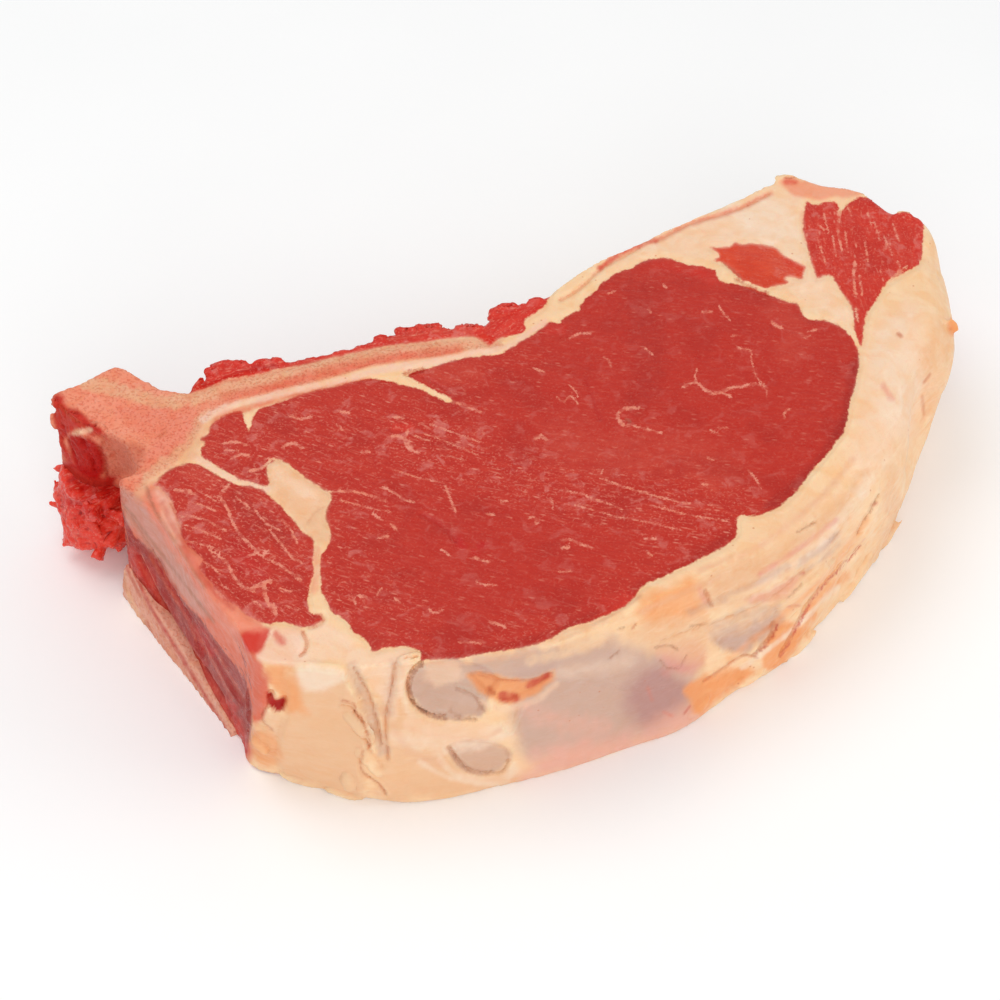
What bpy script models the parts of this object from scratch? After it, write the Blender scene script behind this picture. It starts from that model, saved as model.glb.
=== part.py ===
# Club steak: one thick raw slice of beef with its bone, lying on a cut face.
# +X runs from the backbone to the belly end, +Y towards the rib, +Z up from the underside.
# Lengths below are millimetres; MM turns them into the metres of the finished objects.

import math

import bmesh
import bpy
from mathutils import Vector, noise

MM = 0.001
THICKNESS = 42.0          # mean height of the slice
PLAN_CENTRE = (-1.08, -0.58)  # middle of the slice in the outlines below, which becomes the origin
GAP = 0.3                 # space left between neighbouring pieces
CURVE_STEPS = 3           # straight segments between two points of an outline
RIM_STEPS = 2             # the same for the outer rim and the ragged lump
SIDE_LEVELS = (0.0, 0.05, 0.2, 0.4, 0.6, 0.72, 0.83, 0.92, 0.98, 1.0)  # rings, as parts of the height
FACE_GRID = 9.0           # spacing of the lines that divide the upper cut face
FACE_REACH = 110.0        # how far those lines go from the middle
FACE_WAVE = 0.6           # rise and fall of the upper cut face
FACE_WAVE_ALONG = 29.0    # length of its waves in X, over two pi
FACE_WAVE_ACROSS = 21.0   # and in Y
FACE_RIPPLE = (15.0, 13.0)  # the same for the slanting ripple on top of them
CUTTER_MARGIN = 6.0       # how far a cutter reaches past both faces of the slice
SAME_PLACE = 0.0001       # points closer than this count as one
SHARP_ANGLE = 40.0        # degrees from which an edge is shaded sharp

FAT_SHOULDER = 12.0       # rounding of the upper edge on the belly fat
LEAN_SHOULDER = 0.6       # rounding of the upper edge elsewhere
SHOULDER_FROM_X = 2.0     # the rounding starts to grow here
SHOULDER_FULL_X = 62.0    # and is full from here on
SHOULDER_ENDS_Y = (16.0, 30.0)  # beside the flank it fades out again
FOOT_ROUND = 0.6          # rounding of the lower edge
FAT_BELLY = 1.2           # how far the side of the fat swells at half height
FAT_SIDE_Y = (-38.0, -20.0)  # the swelling fades out between these, at X = 0
FAT_SIDE_SLOPE = 0.62     # and further back towards the belly end by this much per millimetre
SPINE_HOLLOW = 1.0        # how far the sawn backbone side draws in at half height
SPINE_SIDE_X = (-88.0, -84.0)  # that side ends between these
SPINE_SIDE_Y = (15.0, 24.0)

# The outer rim, counter-clockwise seen from above, in four runs that follow each other.
# A point is x, y at the upper edge and the shift of the lower edge against it.
FRONT_RIM = [
    (-86, -36.2, -0.6, 9), (-79, -41.2, -0.4, 7), (-71, -45.2, -1, 3.4), (-59, -49.2, -2, -0.4),
    (-46, -53.8, 0, 1), (-31, -55.8, 0, 1), (-16, -54.5, 0, -0.5), (-2, -51.8, 0, -2.8),
    (14, -49.4, -1, -1), (28, -46.8, 0, 0.5), (42, -42, -1, 2.8), (56, -35.5, -3, 2.6), (67, -27, -3, 2),
]
BELLY_RIM = [
    (78.4, -16, -7, -2), (91, -6, -12.5, -2), (98.2, 7.6, -12, -2), (101.2, 17, -10.5, -2),
    (101.6, 24, -7, -1), (99.6, 30, -5, 0), (94.5, 34, -3, 1), (92, 42.5, -2, 0), (85, 48.5, -1, -1),
    (80, 54.2, -1, -2.5),
]
BACK_RIM = [
    (76, 54, 0, -1.5), (65, 51.8, 0, -1), (50, 49.8, 0, -1), (32, 46.5, 0, -1), (20, 43.3, 0, -1),
    (10, 39, 0, -1), (-1, 38.8, 0, -1.5), (-7.5, 35.4, 0, -1), (-18, 39.4, 0, -1.5), (-24, 40.6, 0, -1),
    (-40, 40.6, 0, 0), (-52, 43.3, 0, 0), (-64, 47, 0, -1), (-72, 42, 0, 0), (-79, 47, 0, 0),
    (-83, 54.6, 0, -0.5), (-88, 55, 0, -0.5), (-94.5, 53.2, -1, -1), (-99.6, 52.4, 0, -1),
]
SPINE_RIM = [
    (-98.5, 46, 0, 2.5), (-96, 40.5, 0, 7), (-91.5, 36, 2.5, 10.5), (-89.6, 30, 2.5, 8), (-90.6, 23.6, 2, 7),
    (-94.8, 22.3, 1, 6), (-94, 16, 1, 4), (-91, 9, 0.5, 1), (-90.4, 0, 1, 0), (-88.8, -14, 1, 1),
    (-86.8, -26, 0.5, 5),
]

# Outlines of the pieces on the upper face. Pieces that reach the outside run past the rim.
EYE = [
    (-76.6, 27.5), (-72, 32), (-62, 30.6), (-51, 31.6), (-38, 29.8), (-31.5, 26.6), (-24, 28.2), (-8, 27),
    (4, 29.6), (12, 31.2), (23, 38.2), (37, 40.6), (46, 34), (48, 27.5), (55.5, 20.5), (60, 12), (64.8, 3.5),
    (63.5, -7.5), (54, -20), (44.5, -30), (31, -38), (18.5, -40.2), (14, -44.8), (0, -47.6), (-12, -50.4),
    (-25, -52.6), (-42, -52.2), (-53, -49.6), (-59, -44.6), (-66, -36.5), (-68.2, -27), (-65.6, -16),
    (-61, -8), (-57, 0), (-58.8, 7.6), (-62.7, 14.2), (-66.2, 12.6), (-68, 9), (-72.6, 15.6),
]
MULTIFIDUS = [
    (-87, 19), (-82.5, 21.2), (-78, 19.2), (-74, 12), (-68.6, 7.2), (-66.6, -1), (-64.4, -9.6), (-66.6, -18),
    (-70, -23.4), (-71.4, -29), (-74, -31.8), (-79.6, -28), (-84, -19.5), (-85.8, -9), (-87, -1), (-86.2, 6),
    (-86.8, 13),
]
KERNEL = [
    (-79, 23.6), (-75.6, 25.6), (-70, 20), (-64, 18), (-56, 12), (-53, 1), (-58, -8), (-63.4, -16.4),
    (-67.6, -13), (-69, 0), (-73, 7), (-79, 13.6), (-82, 19),
]
SLIVER = [
    (51, 38.6), (57, 38.6), (62, 36.4), (65.6, 31), (68.2, 25.6), (64.4, 21.4), (57, 22.2), (52.2, 27.4),
    (49.8, 34.4),
]
FLANK = [
    (78.8, 43.4), (74.2, 37), (71.2, 32), (68.4, 22.6), (71.6, 17.6), (70.4, 9), (70, 1.6), (73.4, 5),
    (77.4, 8.8), (86.6, 13.2), (92.8, 16.6), (97, 22.6), (104, 29), (100, 42), (90.4, 42.6), (85, 39.6),
]
RIB_TRIM = [
    (-71.2, 42.6), (-62, 43.4), (-52, 41.4), (-40, 38.8), (-26, 37.4), (-14, 34), (-8, 33.2), (-2, 36.4),
    (9.6, 37), (12, 44), (-20, 48), (-64, 54), (-74, 48),
]
BONE = [
    (-106, 62), (-80, 62), (-66, 46), (-40, 43), (-12, 36), (-6.8, 32), (-5.4, 27.6), (-10, 24), (-40, 26),
    (-66, 26), (-76, 22), (-78.6, 20), (-84, 19.4), (-88.6, 17.4), (-92.6, 14.6), (-99, 16), (-106, 40),
]
SPINE_MEAT = [
    (-99, 19), (-93, 15.4), (-88, 18), (-84.4, 14), (-84.6, -2), (-82.6, -18), (-81, -28), (-83.6, -33.4),
    (-92, -32.6), (-97, -12),
]

# Sawn sliver of feather bone along the foot of the backbone side: x and y of its outer edge, height.
FEATHER_LINE = [
    (-95.8, 29.4, 8), (-95.4, 26.5, 11.6), (-94.1, 17.5, 9.5), (-91.7, 5, 7), (-89.9, -6, 4.6),
    (-88, -18, 1.8),
]
FEATHER_DEPTH = 5.4       # how far it reaches into the slice
FEATHER_TILT = 0.9        # how far its upper edge lies behind its lower edge

# Ragged lean left on the sawn underside of the backbone.
CHINE_TRIM = [
    (-99.6, 54), (-102.4, 50), (-102.8, 45), (-101, 40.6), (-97, 38.2), (-92, 37.6), (-88.2, 40),
    (-87.8, 46), (-92, 48.6), (-95.8, 53),
]
CHINE_TRIM_HEIGHT = 23.0
CHINE_TRIM_LEVELS = 6
CHINE_TRIM_RAG = 1.6      # size of its tatters
CHINE_TRIM_GRAIN = 0.23   # and how closely they follow each other
CHINE_TRIM_TAPER = 1.4    # how far its top draws in
CHINE_TRIM_FOOT = 0.4     # part of its height that counts as its foot
CHINE_TRIM_UNDERCUT = 0.5  # part of its depth that its foot loses at the front
CHINE_TRIM_TUCK = 0.12    # part of its width that its foot loses on the left
CHINE_TRIM_TILT = 0.16    # slope of its top towards the back
CHINE_TRIM_SPACE = 1.5    # its gap to the slice, as a multiple of the others

# Hollows and swellings on the outer side of the fat: x, height, radius, depth (minus swells).
FAT_DENTS = [
    (-72, 26, 12, 1.8), (-56, 34, 7, 1.5), (-56, 10, 8, 1.4), (-66, 8, 8, -1.0), (4, 18, 14, 1.2),
    (30, 26, 12, -1.4), (52, 12, 12, 1.8), (76, 27, 14, 5), (22, 8, 9, -1.2),
]
FAT_DENTS_END_Y = 10.0    # behind this the side is the rib edge and has none


def smooth_loop(points, steps):
    """Close a Catmull-Rom curve through the points; further values are blended like x and y."""
    size = len(points)
    curve = []
    for i in range(size):
        before, start, end, after = (points[(i + k) % size] for k in (-1, 0, 1, 2))
        for step in range(steps):
            t = step / steps
            curve.append([
                0.5 * (2 * b + (c - a) * t + (2 * a - 5 * b + 4 * c - d) * t ** 2
                       + (3 * b - a - 3 * c + d) * t ** 3)
                for a, b, c, d in zip(before, start, end, after)
            ])
    return curve


def outward(curve, index):
    """Give the unit normal that points out of a counter-clockwise loop."""
    before = curve[index - 1]
    after = curve[(index + 1) % len(curve)]
    along = Vector((after[0] - before[0], after[1] - before[1])).normalized()
    return Vector((along.y, -along.x))


def is_counter_clockwise(curve):
    area = sum(a[0] * b[1] - b[0] * a[1] for a, b in zip(curve, curve[1:] + curve[:1]))
    return area > 0


def ramp(value, low, high):
    """Rise smoothly from 0 at low to 1 at high."""
    t = min(max((value - low) / (high - low), 0.0), 1.0)
    return t * t * (3 - 2 * t)


def face_height(x, y):
    """Height of the gently waved upper cut face."""
    wave = 0.6 * math.sin(x / FACE_WAVE_ALONG + 0.7) * math.cos(y / FACE_WAVE_ACROSS - 0.4)
    ripple = 0.4 * math.sin(x / FACE_RIPPLE[0] - y / FACE_RIPPLE[1])
    return THICKNESS + FACE_WAVE * (wave + ripple)


def shoulder(x, y):
    """Radius of the upper edge: large on the belly fat, small on the lean and the bone."""
    on_fat = ramp(x, SHOULDER_FROM_X, SHOULDER_FULL_X) * (1 - ramp(y, *SHOULDER_ENDS_Y))
    return LEAN_SHOULDER + (FAT_SHOULDER - LEAN_SHOULDER) * on_fat


def side_swell(x, y):
    """How far the side stands out at half height."""
    back = FAT_SIDE_SLOPE * max(x, 0)
    fat_side = 1 - ramp(y - back, *FAT_SIDE_Y)
    spine_side = (1 - ramp(x, *SPINE_SIDE_X)) * (1 - ramp(y, *SPINE_SIDE_Y))
    return FAT_BELLY * fat_side * (1 - spine_side) - SPINE_HOLLOW * spine_side


def fat_dent(x, y, z):
    """Depth of the hollows on the fat at one place of the side."""
    if y > FAT_DENTS_END_Y:
        return 0.0
    depth = 0.0
    for dent_x, dent_z, radius, dent_depth in FAT_DENTS:
        distance = math.hypot(x - dent_x, z - dent_z) / radius
        if distance < 1:
            depth += dent_depth * (1 - distance * distance) ** 2
    return depth


def side_offset(x, y, part):
    """Outward offset of the side at a height given as a part of the thickness."""
    height = part * THICKNESS
    offset = side_swell(x, y) * math.sin(math.pi * part)
    radius = shoulder(x, y)
    into_shoulder = height - (THICKNESS - radius)
    if into_shoulder > 0:
        offset -= radius - math.sqrt(max(radius ** 2 - into_shoulder ** 2, 0.0))
    if height < FOOT_ROUND:
        offset -= FOOT_ROUND - height
    return offset - fat_dent(x, y, height)


def close_rings(bm, rings):
    """Join rings of equal size and cap both ends; give the first and the last cap."""
    for lower, upper in zip(rings, rings[1:]):
        for i in range(len(lower)):
            j = (i + 1) % len(lower)
            bm.faces.new((lower[i], lower[j], upper[j], upper[i]))
    first = bm.faces.new(list(reversed(rings[0])))
    last = bm.faces.new(rings[-1])
    return first, last


def new_object(name, bm):
    """Triangulate a bmesh drawn in millimetres and make it an object in metres."""
    bmesh.ops.triangulate(bm, faces=bm.faces[:], quad_method="FIXED")
    bmesh.ops.recalc_face_normals(bm, faces=bm.faces[:])
    bmesh.ops.translate(bm, vec=(-PLAN_CENTRE[0], -PLAN_CENTRE[1], 0), verts=bm.verts[:])
    bmesh.ops.scale(bm, vec=(MM, MM, MM), verts=bm.verts[:])
    mesh = bpy.data.meshes.new(name)
    bm.to_mesh(mesh)
    bm.free()
    solid = bpy.data.objects.new(name, mesh)
    bpy.context.scene.collection.objects.link(solid)
    return solid


def slice_body(name):
    """The whole slice: rim curve lofted up the side, flat underside, waved upper face."""
    rim = smooth_loop(FRONT_RIM + BELLY_RIM + BACK_RIM + SPINE_RIM, RIM_STEPS)
    bm = bmesh.new()
    rings = []
    for part in SIDE_LEVELS:
        ring = []
        for i, (x, y, shift_x, shift_y) in enumerate(rim):
            normal = outward(rim, i) * side_offset(x, y, part)
            sink = 1 - part
            ring.append(bm.verts.new((x + shift_x * sink + normal.x, y + shift_y * sink + normal.y,
                                      part * THICKNESS)))
        rings.append(ring)
    top = close_rings(bm, rings)[1]
    divide_face(bm, top)
    for vert in bm.verts:
        vert.co.z *= face_height(vert.co.x, vert.co.y) / THICKNESS
    return new_object(name, bm)


def divide_face(bm, face):
    """Score one face with square grid lines, so that it can wave."""
    faces = [face]
    reach = int(FACE_REACH / FACE_GRID)
    for axis in (Vector((1, 0, 0)), Vector((0, 1, 0))):
        for line in range(-reach, reach + 1):
            verts = {v for f in faces for v in f.verts}
            edges = {e for f in faces for e in f.edges}
            cut = bmesh.ops.bisect_plane(bm, geom=[*verts, *edges, *faces], dist=SAME_PLACE,
                                         plane_co=axis * (line + 0.5) * FACE_GRID, plane_no=axis)
            faces = [item for item in cut["geom"] if isinstance(item, bmesh.types.BMFace)]


def prism(name, outline, grow=0.0):
    """Cutter: the smooth outline drawn straight through the slice."""
    curve = smooth_loop(outline, CURVE_STEPS)
    if not is_counter_clockwise(curve):
        curve.reverse()
    bm = bmesh.new()
    rings = []
    for z in (-CUTTER_MARGIN, THICKNESS + CUTTER_MARGIN):
        ring = []
        for i, (x, y) in enumerate(curve):
            normal = outward(curve, i) * grow
            ring.append(bm.verts.new((x + normal.x, y + normal.y, z)))
        rings.append(ring)
    close_rings(bm, rings)
    return new_object(name, bm)


def combine(target, other, operation):
    """Apply one Boolean to the target and remove the other object."""
    modifier = target.modifiers.new("Carve", "BOOLEAN")
    modifier.operation = operation
    modifier.solver = "EXACT"
    modifier.object = other
    graph = bpy.context.evaluated_depsgraph_get()
    carved = bpy.data.meshes.new_from_object(target.evaluated_get(graph))
    target.modifiers.clear()
    target.data = carved
    bpy.data.objects.remove(other)


def copy_of(source, name):
    twin = bpy.data.objects.new(name, source.data.copy())
    bpy.context.scene.collection.objects.link(twin)
    return twin


def carve(rest, name, outline):
    """Cut one piece out of the rest of the slice, leaving the gap round it."""
    piece = copy_of(rest, name)
    combine(piece, prism("inside", outline), "INTERSECT")
    combine(rest, prism("outside", outline, GAP), "DIFFERENCE")
    return piece


def feather_bone(name, grow=0.0):
    """Wedge of bone along the foot of the backbone side, low towards the front."""
    bm = bmesh.new()
    sections = []
    for x, y, height in FEATHER_LINE:
        inner = x + FEATHER_DEPTH + grow
        top = height + grow
        sections.append([
            bm.verts.new((x - grow, y, -grow * CUTTER_MARGIN)),
            bm.verts.new((inner, y, -grow * CUTTER_MARGIN)),
            bm.verts.new((inner, y, top)),
            bm.verts.new((x + FEATHER_TILT - grow, y, top)),
        ])
    for vert in sections[0]:
        vert.co.y += grow
    for vert in sections[-1]:
        vert.co.y -= grow
    close_rings(bm, sections)
    return new_object(name, bm)


def chine_trim(name, grow=0.0):
    """Tattered lump of lean under the backbone, drawn in at its foot and at its top."""
    outline = smooth_loop(CHINE_TRIM, RIM_STEPS)
    if not is_counter_clockwise(outline):
        outline.reverse()
    back_x = max(x for x, y in outline)
    back_y = max(y for x, y in outline)
    bm = bmesh.new()
    rings = []
    for level in range(-1 if grow else 0, CHINE_TRIM_LEVELS + 1):
        part = max(level, 0) / CHINE_TRIM_LEVELS
        foot = 1 - ramp(part, 0, CHINE_TRIM_FOOT)
        across = 1 - CHINE_TRIM_TUCK * foot
        along = 1 - CHINE_TRIM_UNDERCUT * foot
        plan = [(back_x + (x - back_x) * across, back_y + (y - back_y) * along) for x, y in outline]
        ring = []
        for i, (x, y) in enumerate(plan):
            height = part * CHINE_TRIM_HEIGHT + CHINE_TRIM_TILT * (y - back_y) * part
            rag = CHINE_TRIM_RAG * noise.noise(Vector((x, y, height)) * CHINE_TRIM_GRAIN)
            offset = outward(plan, i) * (grow + rag - CHINE_TRIM_TAPER * part ** 3)
            height += grow * min(level, 1)
            ring.append(bm.verts.new((x + offset.x, y + offset.y, height)))
        rings.append(ring)
    close_rings(bm, rings)
    return new_object(name, bm)


def keep_largest(solid):
    """Drop loose crumbs that a cut left beside the main body."""
    bm = bmesh.new()
    bm.from_mesh(solid.data)
    unseen = set(bm.verts)
    islands = []
    while unseen:
        queue = [unseen.pop()]
        island = set(queue)
        while queue:
            for edge in queue.pop().link_edges:
                for vert in edge.verts:
                    if vert in unseen:
                        unseen.remove(vert)
                        island.add(vert)
                        queue.append(vert)
        islands.append(island)
    largest = max(islands, key=len)
    crumbs = [vert for island in islands if island is not largest for vert in island]
    bmesh.ops.delete(bm, geom=crumbs, context="VERTS")
    bm.to_mesh(solid.data)
    bm.free()


def finish(solid, colour, roughness):
    """Give a piece its own moist, non-metallic material."""
    material = bpy.data.materials.new(solid.name)
    material.use_nodes = True
    shader = material.node_tree.nodes["Principled BSDF"]
    shader.inputs["Base Color"].default_value = (*colour, 1.0)
    shader.inputs["Roughness"].default_value = roughness
    shader.inputs["Metallic"].default_value = 0.0
    solid.data.materials.clear()
    solid.data.materials.append(material)
    keep_largest(solid)
    solid.data.shade_smooth()
    solid.data.set_sharp_from_angle(angle=math.radians(SHARP_ANGLE))


LEAN_RED = (0.46, 0.055, 0.036)
BRIGHT_RED = (0.60, 0.035, 0.020)
BONE_TAN = (0.74, 0.42, 0.29)
FAT_CREAM = (0.90, 0.70, 0.48)


def main():
    for leftover in list(bpy.data.objects):
        bpy.data.objects.remove(leftover)

    rest = slice_body("fat_cap")
    foot = feather_bone("feather_bone")
    combine(rest, feather_bone("outside", GAP), "DIFFERENCE")
    trim = chine_trim("chine_trim")
    combine(rest, chine_trim("outside", CHINE_TRIM_SPACE * GAP), "DIFFERENCE")

    lean = [carve(rest, "eye_muscle", EYE), carve(rest, "multifidus", MULTIFIDUS),
            carve(rest, "sliver_muscle", SLIVER), carve(rest, "flank_muscle", FLANK)]
    kernel = carve(rest, "seam_fat", KERNEL)
    red = [carve(rest, "rib_trim", RIB_TRIM)]
    bone = carve(rest, "bone", BONE)
    lean.append(carve(rest, "spine_meat", SPINE_MEAT))

    for piece in lean:
        finish(piece, LEAN_RED, 0.38)
    for piece in red + [trim]:
        finish(piece, BRIGHT_RED, 0.35)
    for piece in (bone, foot):
        finish(piece, BONE_TAN, 0.5)
    for piece in (kernel, rest):
        finish(piece, FAT_CREAM, 0.45)


main()
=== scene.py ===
import itertools
import math

import bmesh
import bpy
import numpy as np
from mathutils import Matrix, Vector


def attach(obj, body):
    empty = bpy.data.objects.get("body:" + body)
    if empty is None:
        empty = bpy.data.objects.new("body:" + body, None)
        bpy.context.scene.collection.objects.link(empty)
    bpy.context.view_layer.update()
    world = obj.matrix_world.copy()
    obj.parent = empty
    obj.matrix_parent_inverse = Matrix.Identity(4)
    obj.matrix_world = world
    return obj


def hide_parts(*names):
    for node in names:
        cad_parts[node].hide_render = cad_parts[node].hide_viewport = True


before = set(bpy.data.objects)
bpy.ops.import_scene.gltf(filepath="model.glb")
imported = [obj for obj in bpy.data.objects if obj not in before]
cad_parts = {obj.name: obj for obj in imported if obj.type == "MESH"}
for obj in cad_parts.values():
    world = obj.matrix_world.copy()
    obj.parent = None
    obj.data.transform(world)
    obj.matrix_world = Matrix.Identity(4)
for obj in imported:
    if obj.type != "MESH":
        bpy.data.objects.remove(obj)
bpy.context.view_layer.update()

# Raw club steak on a pale table. Lengths are millimetres and become metres when a piece is finished.
# The outlines are drawn on a plan whose middle is moved to the origin by planShift.
planShift = (1.08, 0.58)
millimetre = 0.001

# The photograph's camera, placed on the plan
camera = {"azimuth": -24.0, "elevation": 45.0, "distance": 604.0, "target": (-15.62, 6.2, 18.47),
          "lens": 100.0, "sensor": 36.0, "frame": 1000.0}

# Colours as seen in daylight, red green blue from 0 to 255
tones = {
    "lean": (194, 42, 27), "leanDeep": (164, 30, 22), "leanLight": (208, 70, 52), "bright": (214, 46, 32),
    "blood": (180, 2, 4), "spine": (160, 36, 26), "cream": (250, 210, 178), "waxy": (250, 208, 164),
    "sand": (238, 188, 146), "tan": (236, 180, 143), "orange": (244, 160, 98), "peach": (243, 150, 120),
    "pink": (232, 150, 138), "lilac": (203, 166, 150), "purple": (184, 134, 128), "vein": (238, 152, 128),
    "sponge": (240, 150, 120), "canal": (212, 122, 98), "ligament": (210, 146, 130), "seam": (166, 108, 84),
    "rust": (200, 96, 52), "ruby": (196, 26, 22), "foot": (232, 168, 142), "ivory": (250, 222, 196),
    "sinew": (246, 200, 176), "coral": (224, 108, 80), "scarlet": (230, 58, 42),
    "blush": (240, 178, 158), "lively": (208, 48, 32), "brick": (222, 66, 34), "gland": (238, 138, 112),
}


def linear(tone):
    colour = np.array(tones[tone] if isinstance(tone, str) else tone, float) / 255
    return np.where(colour <= 0.04045, colour / 12.92, ((colour + 0.055) / 1.055) ** 2.4)


# Measuring helpers

def ramp(value, low, high):
    t = np.clip((value - low) / (high - low), 0, 1)
    return t * t * (3 - 2 * t)


def smoothLoop(points, steps):  # closed curve through the points
    points = np.array(points, float)
    before, start, end, after = (np.roll(points, k, axis=0)[:, None, :] for k in (1, 0, -1, -2))
    t = (np.arange(steps) / steps)[None, :, None]
    curve = 0.5 * (2 * start + (end - before) * t + (2 * before - 5 * start + 4 * end - after) * t ** 2
                   + (3 * start - before - 3 * end + after) * t ** 3)
    return curve.reshape(-1, points.shape[1])


def smoothLine(points, steps=4):  # open curve through the points
    points = np.array(points, float)
    if len(points) < 3:
        return points
    loop = smoothLoop(np.vstack([2 * points[0] - points[1], points, 2 * points[-1] - points[-2]]), steps)
    return np.vstack([loop[steps:-2 * steps], points[-1]])


def outward(curve):  # unit normals of a counter-clockwise loop
    along = np.roll(curve, -1, axis=0)[:, :2] - np.roll(curve, 1, axis=0)[:, :2]
    along /= np.linalg.norm(along, axis=1)[:, None]
    return np.stack([along[:, 1], -along[:, 0]], axis=1)


def counterClockwise(curve):
    x, y = curve[:, 0], curve[:, 1]
    area = np.sum(x * np.roll(y, -1) - np.roll(x, -1) * y)
    return curve if area > 0 else curve[::-1]


def mottle(points, size, seed=0, octaves=1):  # smooth random values from -1 to 1
    total, weight = np.zeros(len(points)), 0.0
    for octave in range(octaves):
        grid = points * (2.07 ** octave) / size + 700.0 + 31.7 * octave
        cell = np.floor(grid).astype(np.int64)
        t = grid - cell
        t = t * t * (3 - 2 * t)
        layer = np.zeros(len(points))
        for corner in itertools.product((0, 1), repeat=3):
            key = cell + corner
            mixed = (key[:, 0] * 374761393 + key[:, 1] * 668265263 + key[:, 2] * 974634777
                     + (seed + octave) * 1274126177) & 0xffffffff
            mixed = ((mixed ^ (mixed >> 13)) * 1274126177) & 0xffffffff
            value = ((mixed ^ (mixed >> 16)) & 0xffff) / 32767.5 - 1
            layer += value * np.prod(np.where(corner, t, 1 - t), axis=1)
        total += layer * 0.55 ** octave
        weight += 0.55 ** octave
    return total / weight


def uneven(piece, points, name, seed, octaves=1):  # a random layer with the size and height of that name
    size, height = piece[name]
    return height * mottle(points, size, seed, octaves)


def cameraFrame():
    turn, tilt = math.radians(camera["azimuth"]), math.radians(camera["elevation"])
    back = np.array([math.sin(turn) * math.cos(tilt), -math.cos(turn) * math.cos(tilt), math.sin(tilt)])
    right = np.array([math.cos(turn), math.sin(turn), 0.0])
    place = np.array(camera["target"]) + back * camera["distance"]
    return place, right, np.cross(back, right), back


def toPhoto(points):  # plan millimetres to pixels
    place, right, up, back = cameraFrame()
    seen = points - place
    scale = camera["frame"] * camera["lens"] / camera["sensor"] / -(seen @ back)
    half = camera["frame"] / 2
    return np.stack([half + (seen @ right) * scale, half - (seen @ up) * scale], axis=1)


def onSheet(spots):  # flat places as points with a height of 0
    return np.column_stack([spots, np.zeros(len(spots))])


def nearby(spots, line, reach):
    return np.flatnonzero(((spots > line.min(0) - reach) & (spots < line.max(0) + reach)).all(axis=1))


def lineDistance(spots, line):  # pixels from each spot to the line
    nearest = np.full(len(spots), 1e6)
    for start, end in zip(line[:-1], line[1:]):
        along = end - start
        t = np.clip(((spots - start) @ along) / max(along @ along, 1e-9), 0, 1)
        nearest = np.minimum(nearest, np.linalg.norm(spots - start - t[:, None] * along, axis=1))
    return nearest


def loopDepth(spots, loop, reach=30.0):  # pixels inside the loop, negative outside it
    depth = np.full(len(spots), -reach)
    close = nearby(spots, loop, reach)
    if len(close) == 0:
        return depth
    chosen = spots[close]
    distance = lineDistance(chosen, np.vstack([loop, loop[:1]]))
    inside = np.zeros(len(chosen), bool)
    for (x0, y0), (x1, y1) in zip(loop, np.roll(loop, -1, axis=0)):
        if y0 != y1:
            crosses = (chosen[:, 1] > min(y0, y1)) & (chosen[:, 1] <= max(y0, y1))
            inside ^= crosses & (chosen[:, 0] < x0 + (chosen[:, 1] - y0) * (x1 - x0) / (y1 - y0))
    depth[close] = np.where(inside, distance, -distance)
    return depth


# Making helpers

def newObject(name, bm):
    mesh = bpy.data.meshes.new(name)
    bm.to_mesh(mesh)
    bm.free()
    solid = bpy.data.objects.new(name, mesh)
    bpy.context.scene.collection.objects.link(solid)
    return solid


def loft(name, rings):  # a closed skin over rings with equal numbers of points, lowest first
    bm = bmesh.new()
    seat = bm.verts.layers.int.new("seat")
    first = bmesh.ops.create_circle(bm, cap_ends=True, segments=len(rings[0]), radius=1)["verts"]
    for i, vert in enumerate(first):
        vert[seat] = i
        vert.co = rings[0][i]
    edges = bm.edges[:]
    for ring in rings[1:]:
        highlightedColour = bmesh.ops.extrude_edge_only(bm, edges=edges)["geom"]
        edges = [item for item in highlightedColour if isinstance(item, bmesh.types.BMEdge)]
        for vert in {vert for edge in edges for vert in edge.verts}:
            vert.co = ring[vert[seat]]
    bmesh.ops.contextual_create(bm, geom=edges)
    bmesh.ops.recalc_face_normals(bm, faces=bm.faces[:])
    return newObject(name, bm)


def applyModifiers(solid):
    graph = bpy.context.evaluated_depsgraph_get()
    shaped = bpy.data.meshes.new_from_object(solid.evaluated_get(graph))
    solid.modifiers.clear()
    solid.data = shaped


def remesh(solid, size):  # even small faces all over, so that fine relief has points to move
    change = solid.modifiers.new("Even", "REMESH")
    change.mode = "VOXEL"
    change.voxel_size = size
    applyModifiers(solid)


def combine(solid, other, operation, keep=False):
    cut = solid.modifiers.new("Cut", "BOOLEAN")
    cut.operation = operation
    cut.solver = "MANIFOLD"
    cut.object = other
    applyModifiers(solid)
    if not keep:
        bpy.data.objects.remove(other)


def twinOf(solid, name):
    twin = bpy.data.objects.new(name, solid.data.copy())
    bpy.context.scene.collection.objects.link(twin)
    return twin


def readPoints(mesh):
    points, normals = np.empty(len(mesh.vertices) * 3), np.empty(len(mesh.vertices) * 3)
    mesh.vertices.foreach_get("co", points)
    mesh.vertex_normals.foreach_get("vector", normals)
    return points.reshape(-1, 3), normals.reshape(-1, 3)


def readEdges(mesh):
    edges = np.empty(len(mesh.edges) * 2, np.int32)
    mesh.edges.foreach_get("vertices", edges)
    return edges.reshape(-1, 2)


def writePoints(mesh, points):
    mesh.vertices.foreach_set("co", points.ravel())
    mesh.update()


def pushOut(mesh, points, normals, push):  # moves the surface outward, but never below the table
    points += normals * push[:, None]
    points[:, 2] = np.maximum(points[:, 2], 0)
    writePoints(mesh, points)


def writeField(mesh, name, values, kind="FLOAT", part="value"):
    attribute = mesh.attributes.new(name, kind, "POINT")
    attribute.data.foreach_set(part, values.ravel().astype(np.float32))


# The slice

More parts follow.
